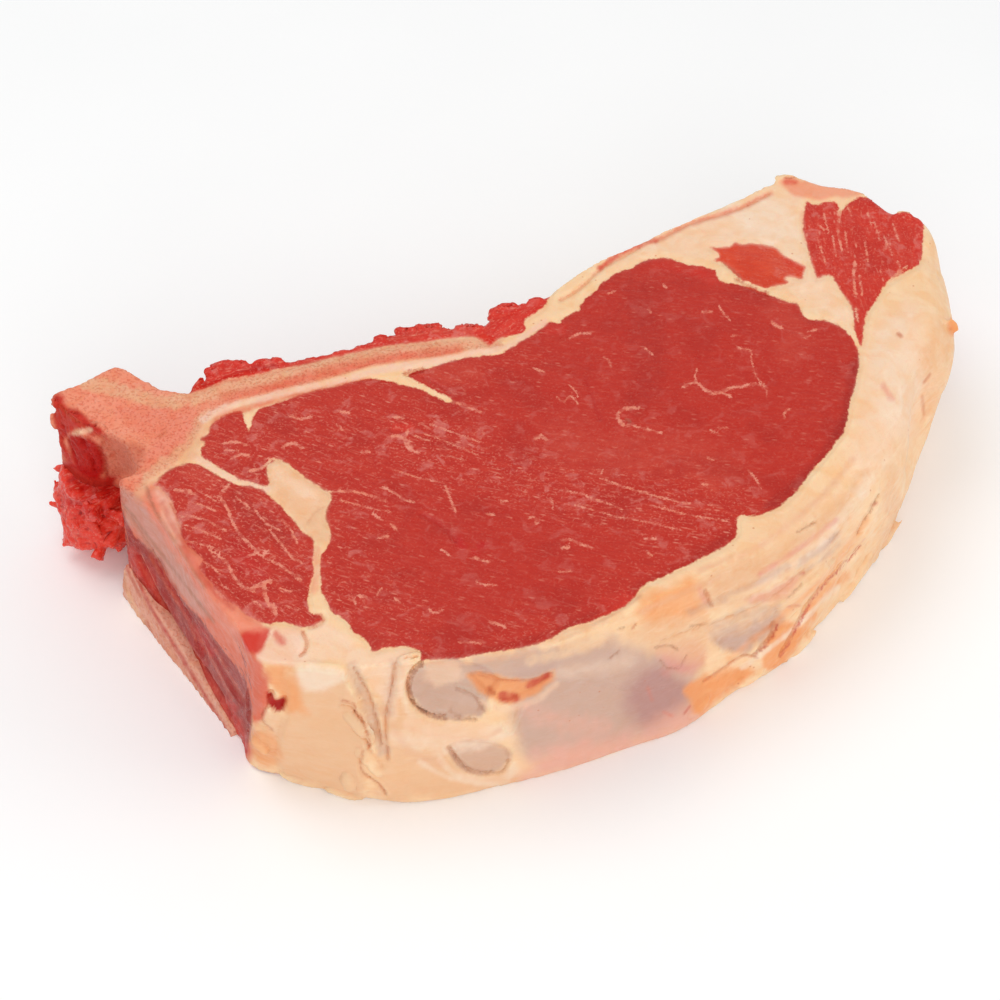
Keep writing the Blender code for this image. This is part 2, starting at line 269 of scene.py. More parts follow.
slab = {
    "thickness": 42.0, "grain": 0.5,  # mean height, and size of its small faces
    "ringSteps": 12, "levels": 26, "shoulderLevels": 14,
    "waveHeight": 0.6, "waveAlong": 29.0, "waveAcross": 21.0, "ripple": (15.0, 13.0),
    "fatShoulder": 12.0, "leanShoulder": 0.6, "shoulderX": (2.0, 62.0), "shoulderY": (16.0, 30.0),
    "foot": 0.6, "belly": 1.2, "bellyY": (-38.0, -20.0), "bellySlope": 0.62,
    "hollow": 1.0, "spineX": (-88.0, -84.0), "spineY": (15.0, 24.0),
    # outer edge of the upper face, and the shift of the lower edge against it
    "rim": [
        (-86, -36.2, -0.6, 9), (-79, -41.2, -0.4, 7), (-71, -45.2, -1, 3.4), (-59, -49.2, -2, -0.4),
        (-46, -53.8, 0, 1), (-31, -55.8, 0, 1), (-16, -54.5, 0, -0.5), (-2, -51.8, 0, -2.8),
        (14, -49.4, -1, -1), (28, -46.8, 0, 0.5), (42, -42, -1, 2.8), (56, -35.5, -3, 2.6), (67, -27, -3, 2),
        (78.4, -16, -7, -2), (91, -6, -12.5, -2), (98.2, 7.6, -12, -2), (101.2, 17, -10.5, -2),
        (101.6, 24, -7, -1), (99.6, 30, -5, 0), (94.5, 34, -3, 1), (92, 42.5, -2, 0), (85, 48.5, -1, -1),
        (80, 54.2, -1, -2.5), (76, 54, 0, -1.5), (65, 51.8, 0, -1), (50, 49.8, 0, -1), (32, 46.5, 0, -1),
        (20, 43.3, 0, -1), (10, 39, 0, -1), (-1, 38.8, 0, -1.5), (-7.5, 35.4, 0, -1), (-18, 39.4, 0, -1.5),
        (-24, 40.6, 0, -1), (-40, 40.6, 0, 0), (-52, 43.3, 0, 0), (-64, 47, 0, -1), (-72, 42, 0, 0),
        (-79, 47, 0, 0), (-83, 54.6, 0, -0.5), (-88, 55, 0, -0.5), (-94.5, 53.2, -1, -1),
        (-99.6, 52.4, 0, -1), (-98.5, 46, 0, 2.5), (-96, 40.5, 0, 7), (-91.5, 36, 2.5, 10.5),
        (-89.6, 30, 2.5, 8), (-90.6, 23.6, 2, 7), (-94.8, 22.3, 1, 6), (-94, 16, 1, 4), (-91, 9, 0.5, 1),
        (-90.4, 0, 1, 0), (-88.8, -14, 1, 1), (-86.8, -26, 0.5, 5)],
    # hollows of the outer fat: x, height, radius, depth, and swellings where the depth is negative
    "dents": [
        (-72, 26, 12, 1.8), (-56, 34, 7, 1.5), (-56, 10, 8, 1.4), (-66, 8, 8, -1.0), (4, 18, 14, 1.2),
        (30, 26, 12, -1.4), (52, 12, 12, 1.8), (76, 27, 14, 5), (22, 8, 9, -1.2)],
    "dentsEndY": 10.0, "lipSide": -1.0, "smoothEdge": 8.0, "shredEdge": 14.0,
    # torn bits that stand up from the surface: place on the photo, direction there, length, width, thickness
    "scraps": [
        (951, 326, 1, 0.1, 4.2, 2.4, 2.6), (90, 437, 1, 0.4, 6.5, 1.7, 1.3), (944, 372, -0.2, 1, 9, 3, 1.7),
        (928, 414, -0.5, 1, 8, 2.6, 1.2), (892, 540, -0.2, 1, 12, 2.4, 1.0),
        (858, 578, -0.8, 0.8, 14, 2.2, 1.1), (800, 648, -0.8, 0.7, 10, 2.4, 1.2),
        (788, 184, 1, 0.1, 6, 3, 1.0), (905, 214, 1, 0.2, 4, 2.6, 1.6), (196, 386, 1, -0.4, 5, 2.2, 1.8),
        (212, 374, 1, -0.8, 4, 1.8, 1.5), (222, 365, 1, -0.1, 6, 2, 1.6), (243, 367, 1, 0.3, 4, 1.8, 1.5),
        (260, 364, 1, -0.2, 4.5, 1.8, 1.6), (276, 361, 1, 0.6, 3, 1.8, 1.7),
        (380, 341, 1, -0.2, 4, 1.6, 1.4), (406, 332, 1, 0.3, 4.5, 2, 1.6), (430, 329, 1, -0.2, 6, 2, 1.5),
        (468, 328, 1, 0.1, 7, 2, 1.4), (494, 315, 1, -0.8, 4, 2, 1.6), (508, 310, 1, -0.1, 5, 2, 1.6),
        (538, 304, 1, -0.3, 4, 2, 1.5), (56, 402, 1, 0.4, 3, 2.2, 1.8), (56, 421, 0.3, 1, 4, 1.8, 1.6),
        (64, 444, 0.3, 1, 4, 1.8, 1.6), (76, 414, 1, 0.7, 4, 1.8, 1.4), (98, 428, 1, 0.7, 4, 1.8, 1.3),
        (300, 780, 1, 0.2, 9, 3, 1.6), (345, 796, 1, 0.2, 8, 2.6, 1.5), (410, 653, 1, -0.3, 6, 2.4, 1.3),
        (748, 676, 1, -0.4, 7, 3, 1.6), (697, 706, 1, -0.6, 6, 3, 1.5), (262, 745, 0.4, 1, 5, 3, 1.6),
        (256, 720, 0.2, 1, 4, 2.6, 1.5), (362, 720, 0.4, 1, 9, 2.4, 1.5), (372, 760, 0.3, 1, 9, 2.6, 1.5),
        (350, 780, -0.3, 1, 6, 2.4, 1.4)],
    # parts of the side that a smooth skin covers, on the photo
    "smooth": [
        [(414, 664), (560, 650), (645, 640), (692, 650), (702, 690), (690, 720), (600, 756), (520, 790),
         (514, 745), (500, 720), (450, 720), (412, 700)],
        [(284, 676), (340, 666), (360, 720), (360, 790), (284, 770)],
        [(380, 716), (440, 728), (500, 722), (516, 745), (500, 790), (400, 800), (376, 780)]],
    # parts of the side where the fat is torn into shreds
    "shreds": [
        [(690, 690), (660, 625), (700, 590), (780, 540), (850, 450), (900, 470), (900, 540), (840, 610),
         (780, 670), (700, 712)],
        [(246, 690), (284, 700), (284, 770), (250, 762)], [(336, 690), (384, 690), (392, 800), (356, 800)]],
}


def faceHeight(x, y):
    wave = 0.6 * np.sin(x / slab["waveAlong"] + 0.7) * np.cos(y / slab["waveAcross"] - 0.4)
    ripple = 0.4 * np.sin(x / slab["ripple"][0] - y / slab["ripple"][1])
    return slab["thickness"] + slab["waveHeight"] * (wave + ripple)


def sideOffset(x, y, part):  # how far the side stands out at one level
    back = slab["bellySlope"] * np.maximum(x, 0)
    spine = (1 - ramp(x, *slab["spineX"])) * (1 - ramp(y, *slab["spineY"]))
    swell = slab["belly"] * (1 - ramp(y - back, *slab["bellyY"])) * (1 - spine) - slab["hollow"] * spine
    onFat = ramp(x, *slab["shoulderX"]) * (1 - ramp(y, *slab["shoulderY"]))
    radius = slab["leanShoulder"] + (slab["fatShoulder"] - slab["leanShoulder"]) * onFat
    height = part * slab["thickness"]
    over = np.clip(height - (slab["thickness"] - radius), 0, None)
    offset = swell * math.sin(math.pi * part) - radius + np.sqrt(np.maximum(radius ** 2 - over ** 2, 0))
    offset -= max(slab["foot"] - height, 0)
    for dentX, dentZ, size, depth in slab["dents"]:
        reach = np.clip(1 - (np.hypot(x - dentX, height - dentZ) / size) ** 2, 0, None)
        offset -= np.where(y < slab["dentsEndY"], depth * reach ** 2, 0)
    return offset


def addScraps(solid):  # small flat lumps that the remesh then melts into the surface
    points, normals = readPoints(solid.data)
    spots = toPhoto(points)
    place, right, up, back = cameraFrame()
    look = normals @ back
    for x, y, across, down, length, width, thickness in slab["scraps"]:
        distance = np.hypot(spots[:, 0] - x, spots[:, 1] - y) + np.where(look > -0.1, 0, 1e3)
        nearest = np.argmin(distance)
        normal = Vector(normals[nearest])
        along = Vector(right * across - up * down)
        along = (along - normal * along.dot(normal)).normalized()
        bm = bmesh.new()
        bmesh.ops.create_icosphere(bm, subdivisions=2, radius=0.5)
        bmesh.ops.scale(bm, vec=(length, width, thickness), verts=bm.verts[:])
        turn = Matrix((along, normal.cross(along), normal)).transposed()
        bmesh.ops.rotate(bm, matrix=turn, verts=bm.verts[:])
        bmesh.ops.translate(bm, vec=Vector(points[nearest]) + normal * thickness * 0.28, verts=bm.verts[:])
        combine(solid, newObject("scrap", bm), "UNION")


def makeSlab():
    rim = smoothLoop(slab["rim"], slab["ringSteps"])
    normals = outward(rim)
    straight = 1 - slab["fatShoulder"] / slab["thickness"]
    turn = np.linspace(0, math.pi / 2, slab["shoulderLevels"] + 1)[1:]
    parts = np.concatenate([np.linspace(0, straight, slab["levels"]) ** 1.15 / straight ** 0.15,
                            straight + (1 - straight) * np.sin(turn)])
    rings = []
    for part in parts:
        offset = sideOffset(rim[:, 0], rim[:, 1], part)
        plan = rim[:, :2] + rim[:, 2:] * (1 - part) + normals * offset[:, None]
        height = part * faceHeight(plan[:, 0], plan[:, 1])
        rings.append(np.column_stack([plan, height]))
    return loft("slab", rings)


# What shows on each piece
# "node" is the solid that the piece stands for. "pale" is the tone of its fat or bone, "red" of its meat.
# "grain" gives the angle of the fibres in degrees at two x places: (first, last, start, end).
# "plan" cuts the piece out of the slice. The other lists hold pixels of the 1000 x 1000 photograph:
# "lean" are loops of red meat; "veins" are (half width, points) of fat or sinew in it; "coarse" are
# (coarseness, half width, softness, points) of its grain; "area" is where bone shows; "stains" are
# (tone, softness, strength, loop); "strokes" are (tone, half width, softness, strength, points); "ground" is
# a first coat under both; "creases" are (half width, depth in mm, darkness, tone, points), a ridge where the
# depth is negative, with darkness and tone for the shade painted into the crease; "steps" are (depth in mm,
# softness, loop). "wet" and "gloss" change the shine, and "hollows" sets the painted shade in the hollows,
# its tint, and the painted highlight on what stands out.

eyeMuscle = {
    "node": "eye_muscle", "slot": "lean", "tissue": "lean", "pale": "vein", "red": "lean",
    "grain": (-47.0, -33.0, -60.0, 40.0),
    "plan": [
        (-76.6, 27.5), (-72, 32), (-62, 30.6), (-51, 31.6), (-38, 29.8), (-31.5, 26.6), (-24, 28.2),
        (-8, 27), (4, 29.6), (12, 31.2), (23, 38.2), (37, 40.6), (46, 34), (48, 27.5), (55.5, 20.5),
        (60, 12), (64.8, 3.5), (63.5, -7.5), (54, -20), (44.5, -30), (31, -38), (18.5, -40.2), (14, -44.8),
        (0, -47.6), (-12, -50.4), (-25, -52.6), (-42, -52.2), (-53, -49.6), (-59, -44.6), (-66, -36.5),
        (-68.2, -27), (-65.6, -16), (-61, -8), (-57, 0), (-58.8, 7.6), (-62.7, 14.2), (-66.2, 12.6),
        (-68, 9), (-72.6, 15.6)],
    "lean": [
        [(241, 411), (243, 416), (249, 431), (252, 421), (256, 412), (262, 408), (275, 404), (285, 400),
         (296, 396), (310, 392), (325, 388), (340, 385), (355, 381), (368, 379), (380, 380), (395, 383),
         (412, 387), (424, 391), (436, 397), (447, 402), (452, 399), (440, 393), (428, 387), (412, 379),
         (409, 374), (420, 370), (435, 366), (450, 361), (465, 358), (482, 356), (500, 354), (510, 348),
         (520, 342), (530, 336), (540, 329), (546, 324), (553, 322), (560, 324), (563, 319), (571, 314),
         (579, 310), (582, 303), (588, 296), (596, 291), (601, 284), (610, 277), (616, 273), (624, 270),
         (632, 268), (640, 262), (650, 259), (660, 258), (672, 259), (680, 262), (690, 265), (700, 266),
         (709, 268), (716, 271), (718, 278), (725, 283), (735, 284), (745, 286), (755, 289), (765, 293),
         (775, 297), (785, 301), (796, 303), (800, 308), (804, 316), (809, 320), (818, 320), (828, 321),
         (838, 325), (846, 331), (852, 338), (857, 347), (859, 358), (858, 370), (856, 382), (853, 392),
         (850, 402), (848, 415), (846, 425), (842, 435), (836, 442), (830, 451), (822, 460), (814, 468),
         (807, 477), (800, 487), (793, 495), (785, 502), (775, 509), (765, 513), (752, 516), (742, 515),
         (737, 519), (737, 526), (737, 533), (733, 540), (727, 545), (716, 551), (704, 557), (690, 564),
         (675, 571), (662, 577), (648, 583), (641, 588), (635, 596), (625, 606), (615, 611), (600, 618),
         (588, 622), (575, 626), (564, 630), (555, 637), (540, 643), (525, 647), (510, 650), (495, 652),
         (480, 654), (467, 657), (455, 660), (440, 660), (428, 660), (421, 661), (420, 652), (414, 648),
         (404, 646), (395, 647), (385, 648), (378, 651), (372, 652), (370, 646), (367, 641), (360, 636),
         (352, 631), (350, 625), (345, 619), (335, 614), (330, 608), (326, 600), (322, 592), (321, 580),
         (320, 568), (321, 556), (325, 550), (329, 543), (330, 534), (328, 525), (325, 517), (327, 508),
         (331, 500), (329, 493), (320, 487), (311, 482), (303, 476), (296, 470), (288, 464), (279, 460),
         (273, 462), (268, 466), (267, 474), (270, 482), (268, 486), (261, 486), (250, 482), (240, 480),
         (232, 475), (222, 469), (212, 463), (203, 457), (200, 450), (205, 444), (199, 439), (208, 434),
         (209, 428), (214, 422), (221, 417), (230, 413)]],
    "veins": [
        (1.5, [(391, 436), (402, 437), (405, 441), (409, 449), (418, 452)]), (2.4, [(405, 438), (412, 449)]),
        (1.4, [(408, 430), (405, 440)]), (1.4, [(393, 417), (403, 418)]),
        (1.3, [(383, 487), (395, 493), (405, 500), (414, 502)]),
        (1.2, [(445, 485), (449, 495), (452, 503), (456, 512)]),
        (1.3, [(328, 492), (350, 491), (368, 495), (386, 501)]), (1.3, [(372, 513), (382, 520)]),
        (1.4, [(452, 401), (463, 405), (481, 412)]), (0.8, [(557, 397), (563, 402), (571, 396), (578, 404)]),
        (0.8, [(569, 385), (575, 390), (578, 397)]), (1.0, [(569, 338), (578, 334), (591, 333)]),
        (1.0, [(533, 368), (544, 372)]), (1.9, [(535, 439), (541, 436), (547, 440)]),
        (1.2, [(604, 357), (609, 361), (611, 367)]),
        (1.9, [(636, 408), (624, 409), (618, 414), (619, 420), (624, 426)]),
        (1.0, [(624, 426), (632, 425), (642, 428), (662, 433)]), (0.9, [(638, 408), (640, 407)]),
        (1.5, [
            (683, 387), (688, 384), (694, 382), (699, 384), (704, 389), (712, 393), (722, 391), (731, 388),
            (743, 386), (756, 384)]),
        (0.8, [(755, 384), (763, 386), (768, 388)]), (1.3, [(715, 393), (724, 393), (731, 397)]),
        (0.9, [(697, 369), (695, 377), (698, 383)]), (0.8, [(736, 347), (744, 349), (751, 350)]),
        (0.6, [(751, 350), (752, 362), (757, 378), (765, 386), (767, 398)]), (1.2, [(702, 312), (712, 312)]),
        (0.9, [(719, 306), (722, 311), (730, 320)]), (1.7, [(772, 322), (777, 326), (782, 328)]),
        (1.2, [(808, 332), (816, 330)]), (0.8, [(804, 338), (810, 336)]), (0.9, [(645, 348), (653, 355)]),
        (1.0, [(648, 308), (651, 313)]), (1.0, [(663, 284), (666, 288)]), (0.9, [(608, 294), (615, 291)]),
        (1.0, [(731, 336), (738, 335)]), (1.3, [(529, 518), (534, 517), (537, 524), (540, 518)]),
        (1.4, [(560, 540), (570, 540), (580, 544), (592, 548)]), (1.5, [(561, 548), (569, 547)]),
        (1.4, [(489, 622), (497, 624), (506, 627)]), (1.2, [(429, 610), (436, 613), (443, 610)]),
        (1.2, [(459, 642), (470, 642), (481, 644)]), (1.4, [(474, 557), (481, 560), (489, 562)]),
        (1.2, [(500, 501), (507, 501)]), (1.2, [(487, 514), (494, 515)]), (1.5, [(379, 538), (388, 536)]),
        (1.3, [(391, 524), (397, 530)]), (1.0, [(441, 549), (450, 556)]),
        (0.9, [(476, 581), (485, 585), (497, 585)]), (1.1, [(707, 457), (713, 460)]),
        (1.0, [(748, 470), (755, 478), (761, 488)]), (1.0, [(702, 484), (708, 485)]),
        (1.0, [(708, 505), (719, 506)]), (1.2, [(710, 430), (718, 433)]), (1.2, [(718, 428), (727, 428)]),
        (1.0, [(784, 419), (785, 412), (790, 409)]), (1.3, [(361, 452), (370, 452)]),
        (1.2, [(337, 424), (342, 430)]), (1.2, [(340, 412), (350, 413)]),
        (1.3, [(290, 416), (300, 419), (312, 417)]), (1.6, [(283, 447), (292, 443), (303, 448)]),
        (1.2, [(222, 444), (235, 442), (247, 445)]), (1.6, [(232, 458), (240, 454), (249, 456)]),
        (1.0, [(225, 450), (238, 451)]), (1.6, [(250, 471), (262, 468), (270, 460)]),
        (1.3, [(264, 459), (276, 459)]), (1.0, [(395, 598), (400, 603)]), (1.5, [(358, 596), (366, 597)]),
        (1.0, [(377, 595), (382, 588)]), (1.1, [(352, 595), (356, 605)]), (1.2, [(644, 538), (656, 539)]),
        (0.9, [(646, 551), (652, 556)]), (0.9, [(559, 572), (572, 571)]), (1.0, [(601, 474), (603, 470)]),
        (0.8, [(552, 500), (553, 509)]), (0.8, [(600, 478), (625, 487), (655, 496), (690, 504)]),
        (0.8, [(560, 490), (580, 494), (600, 501), (622, 509)]), (0.8, [(650, 505), (690, 515), (728, 521)]),
        (0.7, [(575, 505), (610, 515), (640, 521)]), (0.8, [(640, 520), (680, 530)]),
        (0.7, [(430, 424), (455, 433), (480, 442)]), (0.7, [(425, 434), (452, 444), (478, 455)]),
        (0.7, [(440, 455), (465, 460)]), (0.8, [(412, 435), (432, 441)]),
        (0.7, [(395, 470), (420, 478), (440, 482)]), (0.8, [(340, 500), (365, 507), (390, 512)])],
    "strokes": [
        ("leanDeep", 5.0, 6.0, 0.7, [(858, 360), (852, 395), (840, 436), (800, 485), (770, 508)]),
        ("leanDeep", 3.0, 6.0, 0.5, [
            (735, 530), (690, 562), (640, 586), (560, 632), (470, 655), (425, 657)]),
        ("leanLight", 16.0, 20.0, 0.5, [(560, 440), (610, 455), (680, 450), (720, 470)]),
        ("leanLight", 10.0, 14.0, 0.45, [(775, 310), (800, 335), (790, 350)]),
        ("leanLight", 8.0, 12.0, 0.5, [(430, 375), (470, 372)]),
        ("leanDeep", 12.0, 16.0, 0.4, [(640, 300), (650, 350), (640, 400)]),
        ("ruby", 3.5, 3.0, 0.95, [(459, 541), (462, 546)]),
        ("ruby", 2.5, 2.5, 0.95, [(480, 546), (487, 545)]),
        ("ruby", 2.0, 2.5, 0.9, [(473, 552), (477, 554)]), ("ruby", 1.6, 1.5, 0.9, [(452, 400), (454, 405)]),
        ("ruby", 2.0, 2.5, 0.8, [(774, 321), (777, 323)]),
        ("bright", 8.0, 7.0, 0.7, [(610, 607), (628, 598)]),
        ("bright", 5.0, 6.0, 0.6, [(700, 270), (714, 277)]),
        ("bright", 5.0, 5.0, 0.6, [(548, 328), (560, 328)]),
        ("bright", 4.0, 5.0, 0.5, [(655, 263), (700, 272)]),
        ("bright", 4.0, 4.0, 0.7, [(398, 427), (410, 426)])],
    "coarse": [
        (0.75, 45, 40, [(230, 440), (330, 430), (430, 440)]),
        (0.9, 22, 24, [(420, 440), (500, 470), (600, 500), (730, 515)]),
        (0.65, 30, 30, [(350, 500), (370, 580), (400, 630)]),
        (0.6, 18, 20, [(500, 640), (600, 600), (690, 545)]),
        (0.24, 50, 50, [(640, 330), (720, 350), (790, 400)]), (0.3, 24, 24, [(470, 570), (560, 580)]),
        (0.5, 20, 24, [(400, 380), (480, 375), (520, 360)])],
    "creases": [
        (2.2, 0.35, 0.55, "blood", [(420, 515), (435, 522), (447, 530), (456, 541)]),
        (1.8, 0.2, 0.35, "blood", [(585, 378), (592, 398), (600, 420)]),
        (1.6, 0.9, 0.9, "blood", [(404, 373), (414, 371), (423, 369)]),
        (1.0, 0.4, 0.45, "blood", [(423, 378), (436, 384), (450, 392)]),
        (1.4, 0.5, 0.75, "blood", [(736, 279), (750, 286), (768, 294)]),
        (1.0, 0.2, 0.4, "blood", [(696, 357), (706, 361)]), (1.2, 0.3, 0.6, "seam", [(626, 419), (630, 422)]),
        (1.0, 0.25, 0.4, "blood", [(770, 325), (772, 329)])],
}

smallMuscle = {
    "node": "multifidus", "slot": "lean", "tissue": "lean", "pale": "vein", "red": "lean",
    "grain": (-52.0, -62.0, -90.0, -60.0),
    "plan": [
        (-87, 19), (-82.5, 21.2), (-78, 19.2), (-74, 12), (-68.6, 7.2), (-66.6, -1), (-64.4, -9.6),
        (-66.6, -18), (-70, -23.4), (-71.4, -29), (-74, -31.8), (-79.6, -28), (-84, -19.5), (-85.8, -9),
        (-87, -1), (-86.2, 6), (-86.8, 13)],
    "lean": [
        [(152, 486), (158, 479), (165, 472), (172, 468), (180, 465), (190, 463), (200, 465), (207, 469),
         (215, 474), (225, 479), (233, 483), (240, 486), (250, 486), (259, 488), (266, 492), (271, 498),
         (279, 504), (285, 511), (292, 518), (298, 525), (304, 533), (311, 536), (314, 542), (314, 552),
         (313, 562), (314, 573), (311, 582), (309, 591), (308, 600), (309, 611), (314, 615), (321, 616),
         (322, 621), (313, 626), (303, 627), (295, 625), (285, 622), (276, 622), (270, 625), (261, 622),
         (251, 618), (241, 611), (232, 604), (221, 598), (214, 590), (212, 583), (205, 576), (199, 568),
         (203, 560), (197, 553), (188, 546), (182, 536), (179, 524), (176, 512), (171, 501), (164, 492),
         (158, 487)]],
    "veins": [
        (1.6, [(229, 485), (222, 492), (220, 497), (226, 506), (232, 520), (239, 533), (251, 546)]),
        (1.5, [(251, 546), (262, 556), (275, 562), (290, 572), (301, 581)]),
        (1.3, [(270, 530), (282, 545), (290, 556), (302, 563)]), (2.6, [(251, 590), (260, 585), (271, 581)]),
        (2.6, [(264, 586), (266, 598), (274, 611)]), (1.6, [(274, 604), (276, 615)]),
        (1.7, [(210, 550), (220, 556), (228, 565), (235, 578), (243, 587), (255, 591)]),
        (1.3, [(181, 491), (196, 494)]), (1.0, [(180, 516), (195, 517), (210, 522), (226, 531)]),
        (1.0, [(185, 525), (205, 532), (221, 539)]), (1.4, [(174, 490), (191, 491)]),
        (1.0, [(205, 494), (216, 501)]), (1.0, [(255, 510), (266, 523), (281, 531)]),
        (1.1, [(182, 541), (205, 545), (222, 552)]), (1.0, [(236, 497), (250, 508)]),
        (1.0, [(258, 548), (275, 556)]), (1.2, [(282, 520), (291, 530), (297, 543)]),
        (0.9, [(196, 503), (216, 511)]), (1.0, [(247, 556), (258, 553)]), (1.4, [(262, 556), (268, 551)]),
        (1.0, [(204, 562), (214, 568), (220, 575)]), (0.8, [(216, 582), (230, 590)]),
        (0.9, [(280, 588), (292, 592)]), (0.8, [(252, 600), (262, 606)]), (0.8, [(286, 606), (298, 610)])],
    "strokes": [
        ("blood", 2.6, 3.0, 0.75, [(238, 567), (242, 573)]),
        ("ruby", 6.0, 8.0, 0.6, [(236, 545), (248, 560), (262, 575)]),
        ("leanLight", 5.0, 8.0, 0.5, [(190, 470), (215, 480)]),
        ("leanDeep", 8.0, 8.0, 0.5, [(235, 500), (260, 520), (285, 540)]),
        ("cream", 2.5, 3.0, 0.8, [(266, 585), (269, 600)])],
    "coarse": [(0.95, 60, 30, [(200, 490), (240, 550), (280, 600)])],
    "creases": [
        (1.2, 0.3, 0.5, "ruby", [(311, 616), (321, 615), (323, 620), (317, 625), (309, 627)]),
        (1.0, 0.2, 0.4, "blood", [(170, 503), (178, 520), (185, 538), (197, 552)])],
}

sliverMuscle = {
    "node": "sliver_muscle", "slot": "lean", "tissue": "lean", "pale": "vein", "red": "brick",
    "grain": (-40.0, -40.0, 50.0, 70.0),
    "plan": [
        (51, 38.6), (57, 38.6), (62, 36.4), (65.6, 31), (68.2, 25.6), (64.4, 21.4), (57, 22.2), (52.2, 27.4),
        (49.8, 34.4)],
    "lean": [
        [(710, 247), (720, 247), (730, 246), (735, 242), (742, 244), (752, 243), (765, 245), (776, 247),
         (781, 252), (788, 257), (796, 261), (801, 264), (806, 267), (804, 273), (803, 279), (797, 279),
         (789, 277), (785, 279), (790, 283), (783, 285), (774, 286), (765, 289), (757, 285), (748, 282),
         (739, 278), (731, 270), (722, 263), (712, 261), (719, 257), (715, 251)]],
    "strokes": [
        ("leanLight", 6.0, 8.0, 0.6, [(745, 250), (765, 255), (785, 268)]),
        ("bright", 4.0, 5.0, 0.6, [(788, 261), (800, 268)])],
    "creases": [(1.0, 0.2, 0.5, "seam", [(722, 262), (733, 270), (741, 278)])],
}

flankMuscle = {
    "node": "flank_muscle", "slot": "lean", "tissue": "lean", "pale": "vein", "red": "lively",
    "coarse": [(0.75, 50, 20, [(830, 240), (900, 240)])],
    "grain": (-104.0, -114.0, 72.0, 98.0),
    "plan": [
        (78.8, 43.4), (74.2, 37), (71.2, 32), (68.4, 22.6), (71.6, 17.6), (70.4, 9), (70, 1.6), (73.4, 5),
        (77.4, 8.8), (86.6, 13.2), (92.8, 16.6), (97, 22.6), (104, 29), (100, 42), (90.4, 42.6), (85, 39.6)],
    "lean": [
        [(807, 201), (813, 205), (820, 204), (830, 201), (836, 203), (842, 211), (846, 205), (852, 201),
         (860, 197), (868, 198), (876, 200), (884, 206), (892, 212), (900, 212), (912, 213), (921, 217),
         (924, 225), (923, 240), (922, 254), (919, 264), (911, 269), (903, 273), (893, 279), (885, 285),
         (880, 293), (876, 301), (870, 308), (866, 316), (864, 326), (863, 338), (861, 346), (857, 338),
         (854, 328), (853, 315), (851, 306), (846, 299), (841, 292), (836, 284), (833, 277), (825, 276),
         (817, 279), (814, 272), (811, 262), (808, 250), (805, 240), (803, 225), (804, 211)]],
    "veins": [
        (2.0, [(855, 262), (854, 275), (856, 296)]), (1.3, [(859, 275), (862, 295)]),
        (1.6, [(840, 212), (838, 232), (842, 250)]), (1.2, [(824, 214), (828, 232)]),
        (1.1, [(820, 226), (824, 230)]), (1.0, [(874, 222), (880, 240)]), (1.1, [(868, 212), (872, 228)]),
        (1.6, [(898, 262), (900, 272), (889, 283)]), (1.2, [(907, 266), (895, 275), (886, 286)]),
        (1.2, [(848, 206), (851, 215)]), (1.0, [(833, 236), (836, 256)]), (1.0, [(893, 224), (899, 241)]),
        (1.0, [(884, 236), (892, 255)]), (0.9, [(865, 240), (868, 262)]), (1.0, [(820, 246), (826, 264)]),
        (0.9, [(845, 232), (848, 252)]), (1.1, [(856, 308), (858, 322)]), (1.3, [(843, 203), (838, 214)])],
    "strokes": [
        ("bright", 7.0, 7.0, 0.7, [(868, 205), (872, 222)]),
        ("bright", 5.0, 5.0, 0.7, [(920, 225), (919, 262)]),
        ("peach", 3.0, 3.0, 0.6, [(804, 215), (806, 240)]),
        ("bright", 5.0, 6.0, 0.6, [(888, 215), (915, 218)])],
}

seamFat = {
    "node": "seam_fat", "slot": "fat", "tissue": "fat", "pale": "cream", "red": "lean",
    "grain": (-50.0, -50.0, -70.0, -60.0),
    "plan": [
        (-79, 23.6), (-75.6, 25.6), (-70, 20), (-64, 18), (-56, 12), (-53, 1), (-58, -8), (-63.4, -16.4),
        (-67.6, -13), (-69, 0), (-73, 7), (-79, 13.6), (-82, 19)],
    "stains": [
        ("tan", 4.0, 0.55, [
            (266, 462), (278, 459), (290, 465), (304, 476), (330, 492), (332, 500), (326, 510), (328, 530),
            (330, 545), (318, 545), (304, 534), (290, 516), (276, 500), (268, 488)]),
        ("sand", 3.0, 0.6, [(305, 520), (322, 505), (330, 500), (330, 540), (318, 543), (306, 534)])],
    "strokes": [
        ("sinew", 2.4, 2.4, 0.8, [(190, 455), (203, 462), (216, 470), (232, 479), (250, 484), (268, 490)]),
        ("peach", 3.0, 3.0, 0.6, [(317, 548), (316, 575), (314, 590)]),
        ("cream", 4.0, 6.0, 0.7, [(275, 470), (300, 490), (312, 500)])],
    "creases": [(1.0, 0.15, 0.25, "rust", [(308, 523), (315, 512), (325, 506)])],
}

ribTrim = {
    "node": "rib_trim", "slot": "trim", "tissue": "lean", "pale": "sand", "red": "bright",
    "grain": (-8.0, -8.0, -80.0, 20.0), "coarse": [(0.9, 16, 8, [(200, 375), (520, 320)])],
    "plan": [
        (-71.2, 42.6), (-62, 43.4), (-52, 41.4), (-40, 38.8), (-26, 37.4), (-14, 34), (-8, 33.2), (-2, 36.4),
        (9.6, 37), (12, 44), (-20, 48), (-64, 54), (-74, 48)],
    "lean": [
        [(184, 394), (180, 380), (200, 356), (284, 346), (300, 356), (340, 346), (345, 330), (400, 315),
         (430, 310), (484, 316), (484, 300), (545, 288), (546, 304), (534, 314), (524, 320), (526, 331),
         (512, 335), (499, 339), (490, 346), (482, 341), (470, 337), (450, 339), (430, 342), (410, 344),
         (385, 347), (360, 352), (338, 357), (300, 366), (276, 370), (262, 374), (240, 377), (224, 380),
         (206, 389)]],
    "strokes": [
        ("blood", 2.5, 2.5, 0.6, [(206, 386), (240, 374), (276, 366)]),
        ("leanLight", 2.0, 2.5, 0.6, [(390, 340), (430, 332), (470, 332)])],
}

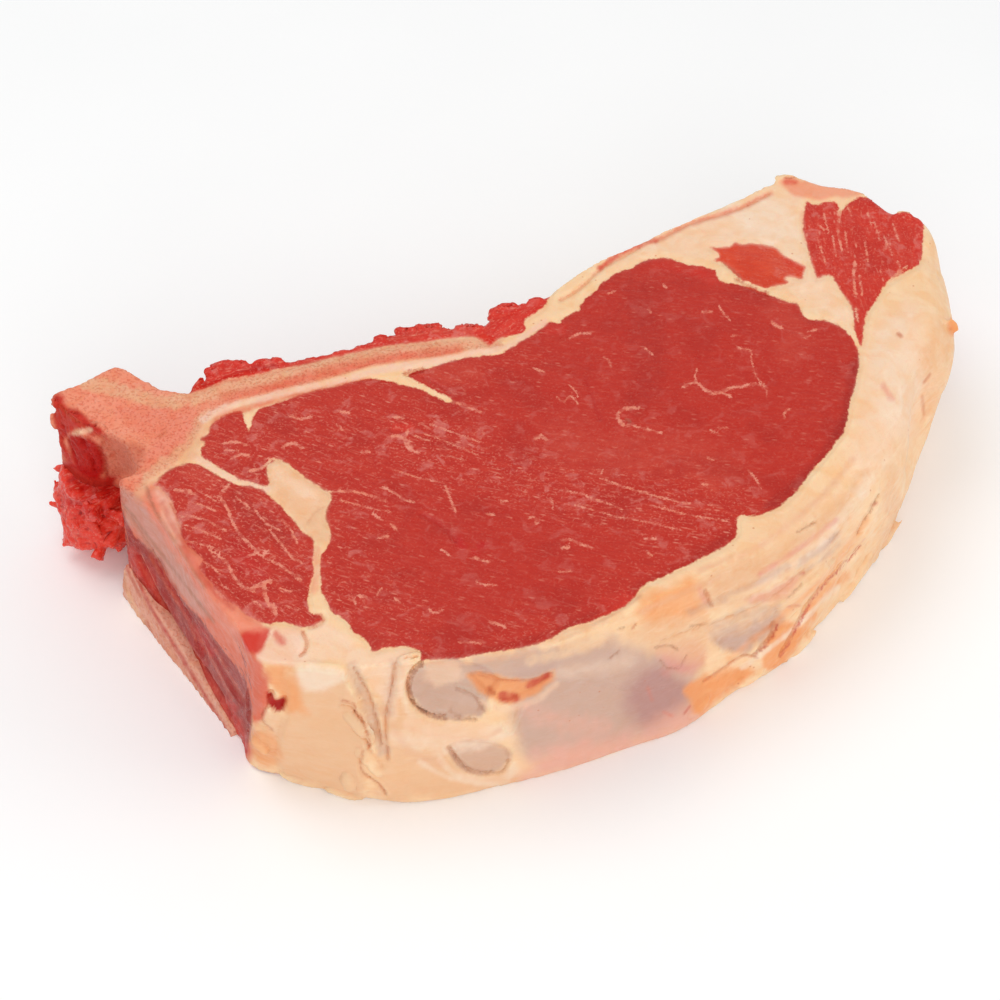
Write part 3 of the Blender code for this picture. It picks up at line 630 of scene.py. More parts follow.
boneEnd = {
    "node": "bone", "slot": "bone", "tissue": "bone", "pale": "sponge", "red": "bright",
    "grain": (-10.0, -10.0, -80.0, 30.0), "coarse": [(0.0, 34, 8, [(60, 420), (92, 470)])], "gloss": 0.1,
    "plan": [
        (-106, 62), (-80, 62), (-66, 46), (-40, 43), (-12, 36), (-6.8, 32), (-5.4, 27.6), (-10, 24),
        (-40, 26), (-66, 26), (-76, 22), (-78.6, 20), (-84, 19.4), (-88.6, 17.4), (-92.6, 14.6), (-99, 16),
        (-106, 40)],
    "area": [
        (45, 395), (60, 382), (118, 355), (195, 385), (260, 372), (340, 355), (420, 340), (497, 342),
        (505, 346), (470, 350), (440, 356), (400, 361), (370, 366), (345, 374), (320, 381), (280, 391),
        (240, 400), (215, 411), (203, 424), (192, 444), (174, 464), (150, 478), (138, 492), (126, 504),
        (90, 504), (60, 490), (48, 440)],
    "stains": [
        ("peach", 5.0, 0.8, [
            (62, 396), (90, 388), (130, 396), (150, 410), (150, 440), (120, 432), (95, 426), (75, 412)]),
        ("peach", 3.0, 0.6, [(104, 378), (122, 368), (135, 377), (128, 384), (112, 386)]),
        ("gland", 6.0, 0.8, [
            (120, 405), (160, 405), (195, 412), (185, 440), (160, 465), (142, 468), (150, 440), (130, 425)]),
        ("canal", 4.0, 0.95, [
            (100, 434), (112, 433), (128, 440), (146, 447), (144, 462), (139, 474), (120, 478), (104, 477),
            (99, 455)]),
        ("sponge", 4.0, 0.7, [(100, 428), (118, 430), (140, 442), (128, 442), (112, 436), (102, 436)]),
        ("blood", 3.0, 0.95, [
            (74, 430), (84, 436), (99, 446), (103, 468), (98, 478), (84, 474), (74, 462), (66, 440)]),
        ("ruby", 3.0, 0.9, [
            (52, 398), (60, 394), (68, 404), (80, 414), (98, 424), (106, 434), (92, 436), (76, 430),
            (66, 440), (74, 466), (60, 450), (54, 425)]),
        ("blood", 4.0, 0.9, [
            (60, 462), (84, 470), (104, 476), (122, 480), (124, 500), (90, 500), (60, 484)]),
        ("peach", 4.0, 0.7, [(118, 478), (140, 470), (142, 492), (128, 500), (120, 492)])],
    "strokes": [
        ("tan", 6.5, 3.0, 0.95, [
            (84, 382), (110, 387), (140, 397), (165, 401), (190, 399), (222, 391), (260, 381), (300, 370),
            (340, 361), (372, 354), (400, 347), (440, 344), (480, 342), (497, 343)]),
        ("brick", 4.0, 4.0, 0.55, [
            (225, 396), (260, 390), (300, 378), (340, 368), (380, 360), (420, 354), (458, 350)]),
        ("sponge", 3.0, 3.0, 0.5, [(200, 408), (230, 398), (262, 391)]),
        ("coral", 3.0, 3.0, 0.85, [
            (214, 422), (226, 413), (240, 410), (262, 403), (285, 397), (310, 391), (340, 385), (365, 381)]),
        ("tan", 8.0, 4.0, 0.9, [(205, 420), (197, 438), (182, 456), (164, 468), (150, 480), (142, 494)]),
        ("sinew", 2.8, 2.2, 0.95, [
            (203, 420), (216, 412), (240, 403), (262, 398), (290, 391), (320, 385), (350, 378), (372, 372),
            (400, 367), (440, 361), (470, 354), (500, 349), (520, 339), (545, 322)]),
        ("rust", 1.5, 2.0, 0.5, [(160, 436), (166, 432)]),
        ("cream", 2.4, 1.5, 0.95, [(75, 433), (90, 430)])],
    "creases": [
        (1.6, 0.5, 0.5, "ruby", [(84, 424), (100, 430), (106, 440)]),
        (1.4, 0.4, 0.4, "rust", [(60, 405), (72, 418), (88, 428)]),
        (1.2, 0.4, 0.6, "blood", [(62, 425), (70, 445), (78, 462)]),
        (2.0, 0.7, 0.7, "blood", [(82, 440), (92, 455), (96, 472)]),
        (1.0, -0.3, 0.0, "bright", [(56, 408), (64, 432), (72, 456)]),
        (1.6, 0.6, 0.6, "blood", [(100, 446), (106, 460), (108, 476)])],
}

spineMeat = {
    "node": "spine_meat", "slot": "lean", "tissue": "lean", "pale": "ligament", "red": "spine",
    "grain": (-86.0, -86.0, -98.0, -84.0), "coarse": [(0.35, 40, 10, [(130, 550), (240, 720)])],
    "plan": [
        (-99, 19), (-93, 15.4), (-88, 18), (-84.4, 14), (-84.6, -2), (-82.6, -18), (-81, -28), (-83.6, -33.4),
        (-92, -32.6), (-97, -12)],
    "lean": [
        [(118, 505), (126, 516), (133, 534), (141, 541), (150, 549), (160, 565), (170, 586), (186, 603),
         (200, 618), (212, 636), (228, 656), (240, 672), (249, 690), (253, 715), (250, 738), (243, 756),
         (225, 742), (190, 690), (160, 640), (140, 600), (126, 560), (126, 540), (118, 520)]],
    "ground": [
        ("coral", 5.0, 0.95, [
            (112, 478), (150, 484), (176, 508), (204, 556), (262, 628), (258, 660), (268, 690), (262, 722),
            (250, 764), (225, 752), (170, 670), (120, 570), (108, 500)])],
    "stains": [
        ("ligament", 3.0, 0.9, [
            (121, 488), (134, 494), (146, 506), (160, 528), (178, 556), (196, 584), (210, 606), (206, 618),
            (190, 604), (172, 584), (158, 560), (146, 544), (134, 530), (124, 512)]),
        ("gland", 5.0, 0.85, [
            (150, 486), (160, 494), (172, 516), (184, 544), (200, 566), (222, 598), (262, 626), (268, 632),
            (238, 634), (246, 656), (226, 640), (206, 604), (184, 568), (162, 534), (146, 504)]),
        ("sinew", 4.0, 0.6, [(156, 492), (165, 498), (176, 520), (184, 545), (176, 542), (164, 520)]),
        ("coral", 5.0, 0.35, [(206, 600), (230, 640), (250, 668), (246, 672), (222, 644), (204, 616)])],
    "strokes": [
        ("leanDeep", 5.0, 4.0, 0.85, [(148, 570), (170, 612), (195, 650), (215, 690)]),
        ("leanDeep", 3.0, 3.0, 0.8, [(158, 562), (178, 600), (192, 630)]),
        ("bright", 6.0, 6.0, 0.7, [(132, 556), (150, 582)]),
        ("ruby", 5.0, 5.0, 0.7, [(186, 650), (205, 678), (212, 690)]),
        ("ruby", 4.0, 4.0, 0.7, [(200, 630), (212, 652)]),
        ("bright", 7.0, 5.0, 0.8, [(224, 704), (236, 728), (242, 748)]),
        ("coral", 1.3, 1.6, 0.4, [(140, 562), (158, 596), (180, 636), (205, 676), (232, 722)]),
        ("coral", 1.2, 1.6, 0.4, [(170, 590), (190, 622), (212, 660), (232, 700)]),
        ("coral", 1.1, 1.4, 0.4, [(150, 556), (166, 584), (184, 612), (196, 640)]),
        ("coral", 1.0, 1.4, 0.4, [(186, 640), (204, 668), (224, 702)]),
        ("coral", 1.2, 1.5, 0.4, [(215, 650), (230, 676), (244, 700)]),
        ("seam", 1.2, 1.5, 0.6, [(122, 504), (132, 514), (142, 528), (160, 552), (186, 586), (214, 622)]),
        ("seam", 1.6, 2.0, 0.5, [(146, 487), (150, 500), (158, 516), (170, 534), (186, 558), (204, 588)])],
    "creases": [
        (1.8, 0.9, 0.6, "blood", [(138, 556), (152, 586), (172, 622), (198, 662), (222, 700)]),
        (1.5, 0.8, 0.6, "blood", [(152, 552), (166, 580), (182, 606), (196, 634), (204, 656)]),
        (1.3, 0.6, 0.5, "blood", [(176, 596), (192, 620), (212, 652), (230, 684), (244, 706)]),
        (1.2, 0.6, 0.5, "blood", [(196, 660), (212, 684), (230, 716)]),
        (1.6, -0.5, 0.0, "coral", [(162, 590), (182, 626), (206, 664)]),
        (1.4, -0.4, 0.0, "pink", [(186, 604), (206, 634), (226, 668)]),
        (1.4, 0.5, 0.5, "seam", [(124, 508), (136, 524), (148, 544), (166, 570)]),
        (1.0, 0.3, 0.5, "seam", [(148, 488), (151, 500), (160, 518)]),
        (1.1, 0.5, 0.5, "blood", [(212, 700), (224, 722), (236, 744)])],
}

fatCap = {
    "node": "fat_cap", "slot": "fat", "tissue": "fat", "pale": "waxy", "red": "bright",
    "grain": (20.0, 35.0, 20.0, 80.0),
    "stains": [
        ("cream", 14.0, 0.8, [
            (600, 270), (660, 235), (740, 200), (800, 190), (804, 250), (850, 300), (850, 330), (800, 300),
            (720, 262), (660, 255)]),
        ("ivory", 10.0, 0.6, [(740, 205), (790, 200), (800, 250), (760, 240), (730, 225)]),
        ("peach", 3.0, 0.75, [
            (780, 182), (800, 178), (860, 186), (862, 196), (830, 198), (806, 198), (790, 192)]),
        ("cream", 16.0, 0.7, [(870, 330), (920, 300), (930, 400), (880, 470), (850, 470), (858, 400)]),
        ("ivory", 12.0, 0.5, [(880, 330), (905, 325), (915, 390), (895, 430), (878, 400)]),
        ("sand", 14.0, 0.5, [(800, 500), (860, 500), (840, 560), (790, 600), (740, 600), (740, 560)]),
        # a lilac film over the front of the fat, which also carries a painted sheen
        ("lilac", 14.0, 0.9, [
            (516, 664), (560, 652), (600, 640), (645, 646), (690, 658), (700, 690), (690, 715), (660, 738),
            (600, 752), (545, 765), (518, 745), (512, 705)]),
        ("purple", 12.0, 0.8, [
            (628, 684), (655, 664), (684, 680), (690, 700), (672, 722), (646, 732), (630, 714)]),
        ("blush", 15.0, 0.85, [
            (560, 742), (620, 738), (684, 706), (704, 708), (690, 740), (600, 765), (540, 782), (516, 788),
            (530, 762)]),
        ("sand", 8.0, 0.75, [
            (380, 655), (412, 662), (408, 690), (422, 716), (470, 728), (500, 745), (516, 782), (470, 792),
            (400, 800), (376, 790), (384, 740), (376, 700)]),
        ("lilac", 3.5, 0.85, [
            (414, 670), (424, 662), (450, 660), (480, 664), (500, 680), (492, 694), (480, 716), (450, 720),
            (426, 712), (414, 698), (410, 684)]),
        ("cream", 5.0, 0.6, [(424, 662), (450, 661), (462, 676), (440, 690), (426, 680)]),
        ("lilac", 4.0, 0.8, [(470, 658), (520, 652), (558, 648), (560, 668), (530, 678), (490, 674)]),
        ("orange", 3.0, 0.85, [
            (468, 675), (485, 673), (505, 679), (530, 679), (554, 671), (546, 688), (530, 698), (510, 704),
            (495, 702), (482, 692), (474, 684)]),
        ("lilac", 3.0, 0.65, [
            (446, 746), (470, 740), (504, 746), (511, 758), (500, 770), (480, 773), (462, 768), (450, 757)]),
        ("sand", 4.0, 0.85, [
            (284, 676), (300, 664), (340, 668), (352, 690), (366, 720), (372, 746), (363, 762), (362, 798),
            (320, 786), (284, 773), (281, 735), (290, 702)]),
        # painted highlight along the top of the knife-cut facet
        ("ivory", 5.0, 0.85, [(300, 668), (335, 667), (346, 678), (330, 685), (305, 692)]),
        ("orange", 6.0, 0.8, [(262, 667), (285, 667), (300, 690), (306, 712), (290, 714), (276, 696)]),
        ("sand", 4.0, 0.8, [(254, 712), (280, 712), (283, 742), (270, 762), (255, 756), (247, 735)]),
        ("orange", 6.0, 0.6, [(255, 728), (275, 735), (280, 760), (260, 764), (248, 745)]),
        ("coral", 5.0, 0.95, [(246, 650), (262, 665), (269, 690), (263, 714), (252, 722), (249, 690)]),
        ("blood", 1.2, 0.98, [
            (267, 693), (272, 692), (276, 699), (286, 697), (283, 709), (276, 711), (269, 705)]),
        ("sinew", 3.0, 0.7, [(266, 628), (300, 627), (306, 640), (300, 662), (262, 662), (256, 650)]),
        ("cream", 4.0, 0.8, [
            (306, 626), (325, 620), (348, 634), (372, 654), (400, 650), (412, 660), (404, 690), (394, 722),
            (384, 702), (350, 664), (300, 664), (304, 650)]),
        ("bright", 2.5, 0.9, [
            (240, 633), (256, 628), (270, 629), (265, 645), (258, 654), (248, 653), (242, 646)]),
        ("peach", 4.0, 0.6, [(232, 606), (262, 624), (270, 629), (240, 633), (232, 625)]),
        ("orange", 10.0, 0.75, [
            (640, 600), (655, 588), (690, 578), (708, 600), (695, 620), (660, 626), (640, 618)]),
        ("sand", 12.0, 0.8, [(704, 575), (740, 558), (775, 568), (770, 596), (735, 608), (705, 604)]),
        ("lilac", 6.0, 0.9, [
            (712, 622), (735, 610), (765, 603), (782, 602), (779, 626), (762, 640), (745, 652), (722, 650),
            (712, 637)]),
        ("pink", 4.0, 0.5, [(745, 600), (780, 585), (792, 575), (797, 584), (776, 602)]),
        ("lilac", 4.0, 0.65, [
            (800, 562), (812, 550), (828, 540), (840, 532), (836, 546), (822, 558), (808, 568), (800, 573)]),
        ("orange", 5.0, 0.9, [
            (688, 684), (715, 670), (745, 664), (757, 674), (735, 690), (715, 702), (700, 712), (690, 704)]),
        ("orange", 4.0, 0.9, [(766, 640), (788, 622), (802, 630), (794, 650), (780, 667), (764, 668)]),
        ("pink", 7.0, 0.6, [(660, 650), (690, 640), (704, 652), (692, 676), (676, 676), (662, 664)]),
        ("sand", 8.0, 0.7, [(630, 628), (700, 614), (712, 640), (690, 660), (640, 648)]),
        ("sand", 6.0, 0.6, [(884, 480), (900, 470), (898, 545), (880, 560), (870, 570), (884, 520)]),
        ("orange", 3.0, 0.95, [(949, 318), (962, 316), (964, 332), (951, 334)]),
        ("sand", 8.0, 0.5, [(925, 340), (948, 320), (948, 380), (930, 420), (915, 440), (924, 390)])],
    "strokes": [
        ("ruby", 4.0, 3.0, 0.85, [(503, 697), (513, 697)]),
        ("ruby", 2.4, 2.5, 0.8, [(528, 686), (538, 681), (548, 676)]),
        ("tan", 2.0, 3.0, 0.5, [(640, 612), (700, 586), (720, 576)]),
        ("rust", 2.0, 2.0, 0.8, [(489, 688), (493, 693)]),
        ("cream", 2.2, 3.0, 0.6, [(482, 702), (500, 709), (522, 706), (540, 698), (556, 684)]),
        ("ivory", 2.5, 2.5, 0.6, [(440, 760), (455, 774), (480, 780), (505, 778), (514, 764)]),
        ("ivory", 6.0, 7.0, 0.7, [(396, 738), (430, 744), (470, 744), (506, 732)]),
        ("tan", 3.0, 5.0, 0.5, [(384, 712), (410, 752), (440, 764)]),
        ("sand", 5.0, 8.0, 0.7, [(400, 786), (450, 790), (500, 784)]),
        ("lean", 2.2, 3.0, 0.5, [(162, 502), (174, 528), (188, 554), (207, 584), (232, 608)]),
        ("lilac", 4.0, 7.0, 0.5, [(396, 664), (392, 690), (388, 712)]),
        ("ivory", 1.4, 3.5, 0.5, [(398, 666), (402, 690), (408, 712)]),
        ("tan", 1.4, 3.0, 0.6, [(404, 726), (440, 736), (480, 738), (500, 730)]),
        ("ivory", 1.6, 3.0, 0.7, [(420, 762), (450, 778), (500, 784), (516, 770)]),
        ("blush", 6.0, 12.0, 0.5, [(530, 712), (560, 722), (600, 726)]),
        ("ivory", 4.0, 9.0, 0.35, [(560, 672), (600, 668), (630, 660)]),
        ("coral", 0.8, 2.4, 0.35, [(648, 688), (652, 700)]),
        ("coral", 0.8, 1.6, 0.7, [(664, 712), (672, 716)]),
        ("ruby", 0.7, 1.4, 0.7, [(690, 706), (684, 714)]),
        ("waxy", 4.0, 5.0, 0.6, [(530, 660), (560, 655), (600, 640)]),
        ("cream", 7.0, 5.0, 0.7, [(410, 722), (430, 730), (460, 733), (482, 730)]),
        ("lilac", 5.0, 5.0, 0.6, [(352, 668), (366, 695), (376, 725), (384, 750)]),
        ("bright", 3.5, 3.5, 0.7, [(276, 634), (281, 642)]),
        ("orange", 4.0, 4.0, 0.8, [(808, 612), (824, 592), (845, 575)]),
        ("orange", 3.0, 3.0, 0.7, [(790, 650), (800, 634), (815, 614)]),
        ("rust", 1.6, 2.0, 0.7, [(898, 334), (901, 336)]), ("pink", 2.4, 3.0, 0.6, [(884, 386), (891, 398)]),
        ("rust", 1.0, 1.5, 0.6, [(924, 382), (930, 374)]), ("rust", 1.2, 1.5, 0.5, [(922, 396), (924, 416)]),
        ("rust", 1.5, 2.0, 0.7, [(788, 578), (792, 578)]), ("ruby", 1.4, 1.5, 0.8, [(801, 573), (803, 573)]),
        ("ruby", 1.5, 2.0, 0.7, [(872, 505), (876, 503)]),
        ("bright", 3.0, 3.0, 0.8, [(786, 181), (794, 181)]),
        ("bright", 2.4, 2.0, 0.85, [(600, 268), (615, 257), (636, 246), (655, 240)]),
        ("coral", 2.4, 3.0, 0.5, [(655, 241), (690, 224), (712, 217), (740, 208), (770, 194)]),
        ("waxy", 8.0, 10.0, 0.6, [(720, 625), (790, 600), (840, 560)]),
        ("ivory", 5.0, 6.0, 0.5, [(756, 590), (800, 560), (840, 520), (868, 480)]),
        ("pink", 2.0, 2.5, 0.5, [(700, 590), (706, 602)]),
        ("seam", 1.5, 2.0, 0.35, [(560, 640), (600, 622), (640, 596)]),
        ("tan", 2.0, 4.0, 0.7, [(700, 570), (760, 545), (820, 498), (852, 460)]),
        ("sand", 3.0, 5.0, 0.8, [(720, 585), (775, 556), (826, 520), (866, 470)]),
        ("lilac", 2.5, 4.0, 0.5, [(690, 612), (740, 592), (786, 566)]),
        ("pink", 1.6, 3.0, 0.6, [(760, 574), (800, 548), (836, 520)]),
        ("waxy", 2.0, 3.0, 0.8, [(730, 598), (782, 580), (830, 548), (874, 500)]),
        ("orange", 2.0, 4.0, 0.6, [(730, 658), (780, 618), (828, 574), (866, 520)]),
        ("ivory", 1.6, 2.5, 0.8, [(742, 668), (790, 632), (838, 586)]),
        ("tan", 3.5, 3.0, 0.5, [(425, 662), (470, 660), (520, 652), (565, 636), (620, 615)])],
    "creases": [
        (1.3, 0.9, 0.85, "ruby", [
            (860, 545), (850, 557), (838, 570), (825, 583), (812, 600), (800, 620), (790, 640), (780, 656)]),
        (1.5, 0.8, 0.8, "blood", [(777, 625), (772, 637), (762, 648), (754, 656)]),
        (1.0, 0.5, 0.6, "seam", [(878, 495), (870, 510), (862, 522), (857, 533)]),
        (1.1, 0.4, 0.5, "seam", [(829, 542), (838, 532)]),
        (1.3, 0.6, 0.6, "rust", [(704, 681), (720, 670), (735, 660), (745, 655), (757, 657)]),
        (0.6, 0.3, 0.4, "seam", [(660, 660), (668, 668), (680, 668)]),
        (0.6, 0.3, 0.4, "seam", [(681, 666), (687, 655)]),
        (1.1, 0.8, 0.8, "rust", [(342, 701), (353, 704), (357, 713), (363, 722), (368, 735), (370, 746)]),
        (1.0, 0.5, 0.5, "rust", [(363, 750), (361, 765), (366, 775), (378, 783), (386, 794)]),
        (2.0, 1.3, 0.85, "seam", [
            (422, 664), (413, 672), (409, 685), (412, 699), (420, 709), (432, 716), (446, 719)]),
        (1.3, 0.5, 0.55, "seam", [(455, 719), (476, 720)]),
        (1.3, 0.9, 0.5, "seam", [(450, 751), (459, 764), (471, 772), (488, 774)]),
        (1.2, 0.6, 0.4, "seam", [(490, 773), (502, 772), (509, 761)]),
        (1.0, 0.5, 0.4, "rust", [(478, 675), (500, 680), (530, 680), (551, 673)]),
        (1.6, -0.5, 0.0, "ivory", [(456, 686), (471, 691), (486, 700), (493, 711)]),
        (1.2, 0.4, 0.35, "seam", [(456, 690), (474, 697), (484, 712)]),
        (1.2, -0.4, 0.0, "ivory", [(500, 720), (506, 730), (512, 732), (518, 722), (523, 710)]),
        (1.1, 0.8, 0.75, "rust", [(302, 632), (307, 641), (305, 650), (300, 655)]),
        (1.2, 0.5, 0.5, "rust", [(270, 695), (268, 705), (262, 718), (272, 730)]),
        (1.0, 0.4, 0.4, "seam", [(798, 532), (808, 526), (816, 522)]),
        (1.4, 0.6, 0.15, "tan", [(354, 668), (366, 690), (376, 716), (382, 745)]),
        (2.2, -0.6, 0.0, "cream", [(345, 672), (356, 694), (370, 722), (376, 750)]),
        (1.8, 0.6, 0.15, "tan", [(396, 662), (392, 690), (386, 720), (388, 760)]),
        (1.0, 0.3, 0.5, "seam", [(619, 651), (609, 659)]), (0.9, 0.2, 0.5, "seam", [(618, 629), (624, 628)]),
        (1.2, 0.2, 0.6, "rust", [(632, 629), (636, 624)]),
        (1.0, 0.5, 0.45, "brick", [(655, 241), (690, 223), (712, 217), (740, 208), (770, 193)]),
        (1.3, 0.6, 0.4, "bright", [(560, 300), (580, 288), (603, 267), (640, 247)]),
        (1.0, 0.3, 0.5, "seam", [(788, 598), (802, 584)]), (1.2, 0.4, 0.5, "seam", [(690, 627), (705, 624)]),
        (1.3, 0.4, 0.5, "pink", [(788, 607), (800, 606)]),
        (1.0, 0.3, 0.5, "seam", [(655, 648), (668, 645), (678, 650)]),
        (1.5, 0.5, 0.4, "rust", [(705, 590), (712, 606)]),
        (2.5, -0.4, 0.0, "waxy", [(720, 628), (760, 612), (800, 588), (845, 548)]),
        (2.0, 0.4, 0.2, "sand", [(660, 640), (720, 622), (772, 598), (805, 570)])],
    "steps": [
        (0.9, 3.0, [
            (414, 672), (424, 664), (450, 661), (480, 666), (500, 682), (492, 698), (480, 716), (450, 719),
            (426, 711), (415, 698), (411, 684)]),
        (0.8, 3.0, [
            (470, 676), (500, 680), (530, 680), (552, 673), (546, 688), (530, 698), (510, 704), (495, 702),
            (482, 692)]),
        (0.7, 3.0, [
            (447, 748), (470, 742), (504, 747), (511, 758), (500, 770), (480, 773), (462, 768), (450, 758)]),
        (1.6, 2.5, [(267, 693), (272, 692), (276, 699), (286, 697), (283, 709), (276, 711), (269, 705)]),
        (-0.8, 5.0, [
            (284, 676), (300, 664), (340, 668), (352, 690), (366, 720), (370, 744), (363, 762), (362, 798),
            (320, 786), (284, 773), (281, 735), (290, 702)]),
        (0.6, 5.0, [(516, 690), (560, 680), (640, 690), (690, 690), (660, 735), (560, 755), (520, 740)]),
        (0.5, 3.0, [
            (712, 622), (735, 612), (765, 605), (778, 606), (776, 626), (745, 652), (722, 648),
            (712, 637)])],
}
pieces = [eyeMuscle, smallMuscle, sliverMuscle, flankMuscle, seamFat, ribTrim, boneEnd, spineMeat, fatCap]
redTones = {"lean", "leanDeep", "leanLight", "bright", "blood", "ruby", "spine", "scarlet", "lively", "brick"}

# Two ragged pieces that are built by themselves and read no list of another piece
spineStrip = {
    "node": "feather_bone", "slot": "bone", "tissue": "bone", "pale": "foot", "red": "lean",
    "grain": (-86.0, -86.0, -98.0, -84.0),
    "alone": True,
    "line": [
        (-95.8, 29.4, 8), (-95.4, 26.5, 11.6), (-94.1, 17.5, 9.5), (-91.7, 5, 7), (-89.9, -6, 4.6),
        (-88, -18, 1.8)],
    "depth": 5.4, "tilt": 0.9, "steps": 12, "face": 0.4, "lumps": (3.0, 1.0), "grit": (0.9, 0.12),
    "lumpHeight": (0.1, 0.35),
    "stains": [
        ("foot", 3.0, 0.9, [
            (110, 535), (128, 538), (134, 566), (150, 602), (172, 640), (196, 680), (222, 722), (236, 750),
            (222, 752), (180, 712), (140, 660), (112, 600), (104, 560)])],
    "strokes": [
        ("sand", 2.5, 2.5, 0.8, [(118, 560), (130, 600), (160, 655), (195, 705)]),
        ("rust", 1.4, 1.5, 0.6, [(122, 575), (126, 590)]), ("rust", 1.4, 1.5, 0.6, [(146, 622), (152, 634)]),
        ("bright", 2.0, 2.0, 0.7, [(112, 548), (120, 560)]),
        ("ruby", 1.6, 1.5, 0.6, [(176, 668), (184, 682)]),
        ("coral", 3.0, 3.0, 0.3, [(150, 640), (185, 690), (220, 740)]),
        ("lean", 1.4, 1.8, 0.8, [(134, 572), (150, 606), (176, 648), (204, 694), (232, 740)]),
        ("lean", 1.2, 1.6, 0.6, [(118, 545), (126, 566), (140, 596)]),
        ("rust", 1.6, 2.4, 0.3, [(160, 640), (180, 676), (206, 712)])],
    "creases": [(1.2, 0.4, 0.5, "rust", [(122, 556), (140, 596), (172, 650), (206, 706)])],
}
chineLump = {
    "node": "chine_trim", "slot": "trim", "tissue": "lean", "pale": "pink", "red": "scarlet",
    "grain": (10.0, 10.0, -98.0, -84.0),
    # "hollows": strong painted shade in the lump's hollows and a painted highlight on what stands out
    "alone": True, "wet": 0.16, "hollows": (1.0, 0.9, (0.62, 0.25, 0.22)),
    "plan": [
        (-99.6, 54), (-102.4, 50), (-102.8, 45), (-101, 40.6), (-97, 38.2), (-92, 37.6), (-88.2, 40),
        (-87.8, 46), (-92, 48.6), (-95.8, 53)],
    "height": 23.0, "levels": 14, "foot": 0.4, "undercut": 0.5, "tuck": 0.12, "tilt": 0.16, "taper": 1.4,
    "steps": 10, "face": 0.4,
    "ragged": 1.3, "raggedSize": 4.4, "seed": 7, "shards": 34, "shardPlace": (0.12, 0.95),
    "shardSize": (1.0, 2.3), "shardLength": (2.0, 3.6), "shardTip": 0.2, "shardFlat": (1.0, 0.55, 1.0),
    "ridges": (1.7, 0.35), "lumps": (2.4, 0.4), "grit": (0.9, 0.12),
    "strokes": [
        ("blood", 9.0, 7.0, 0.8, [(78, 478), (96, 486), (116, 494)]),
        ("ruby", 7.0, 7.0, 0.7, [(66, 500), (84, 508), (104, 514)]),
        ("scarlet", 7.0, 6.0, 0.8, [(64, 515), (90, 528), (118, 532)]),
        ("pink", 2.0, 2.0, 0.5, [(70, 505), (84, 500), (98, 506)]),
        ("pink", 1.6, 2.0, 0.5, [(90, 522), (104, 518), (118, 526)])],
}


# Reading the photo places on the surface

def sideOf(spots, line):  # offset from the line with a sign for its side, distance, and pixels past its ends
    best, offset, past = np.full(len(spots), 1e6), np.zeros(len(spots)), np.zeros(len(spots))
    for i, (start, end) in enumerate(zip(line[:-1], line[1:])):
        along = end - start
        length = max(np.linalg.norm(along), 1e-6)
        away = spots - start
        t = (away @ along) / length ** 2
        side = (along[0] * away[:, 1] - along[1] * away[:, 0]) / length
        over = np.maximum(np.where(i == 0, -t, 0), np.where(i == len(line) - 2, t - 1, 0)).clip(0) * length
        distance = np.linalg.norm(away - np.clip(t, 0, 1)[:, None] * along, axis=1)
        closer = distance < best
        best[closer] = distance[closer]
        atBend = ((t < 0) | (t > 1)) & (over == 0)
        offset[closer] = np.where(atBend, np.where(side < 0, -1, 1) * distance, side)[closer]
        past[closer] = over[closer]
    return offset, best, past


def markLines(spots, edges, lines, reach, wideness):  # offset from the nearest line, half width, number
    offset, width, closest = np.full(len(spots), 50.0), np.full(len(spots), -50.0), np.full(len(spots), 1e6)
    chosen = np.full(len(spots), -1)
    for number, (half, line) in enumerate(lines):
        line = smoothLine(line, 3)
        close = nearby(spots, line, reach)
        if len(close) == 0:
            continue
        side, distance, past = sideOf(spots[close], line)
        nearer = distance - half < closest[close]
        use = close[nearer]
        closest[use] = (distance - half)[nearer]
        offset[use] = side[nearer]
        width[use] = (half - past - np.clip(distance - wideness, 0, None) * 4)[nearer]
        chosen[use] = number
    first, second = edges.T  # hides a line where two neighbours lie on opposite sides of different lines
    gap = np.abs(offset[first]) + np.abs(offset[second])
    length = np.linalg.norm(spots[first] - spots[second], axis=1)
    wrong = (offset[first] * offset[second] < 0) & (gap > 1.15 * length + 0.1)
    far = np.where(np.abs(offset[first]) > np.abs(offset[second]), first, second)[wrong]
    width[far] = np.minimum(width[far], -4.0)
    return offset, width, chosen


def blendTone(paint, places, tone, amount):
    paint[places] += (linear(tone) - paint[places]) * np.clip(amount, 0, 1)[:, None]


def spread(spots, item):  # which spots one stain or stroke reaches, its tone, and its strength there
    if len(item) == 4:
        tone, softness, strength, loop = item
        loop = smoothLoop(loop, 3)
        close = nearby(spots, loop, softness * 2 + 2)
        rough = mottle(onSheet(spots[close]), 13.0, 5, 4) * min(softness * 1.6, 9)
        amount = ramp(loopDepth(spots[close], loop) + rough, -softness, softness)
    else:
        tone, half, softness, strength, line = item
        line = smoothLine(line, 3)
        close = nearby(spots, line, half * 2 + softness)
        distance = lineDistance(spots[close], line)
        distance += mottle(onSheet(spots[close]), 7.0, 6, 3) * half * 0.7
        amount = 1 - ramp(distance, max(half - softness / 2, 0), half + softness)
        amount *= 0.8 + 0.4 * mottle(onSheet(spots[close]), 5.0, 8, 3)
    return close, tone, amount * strength


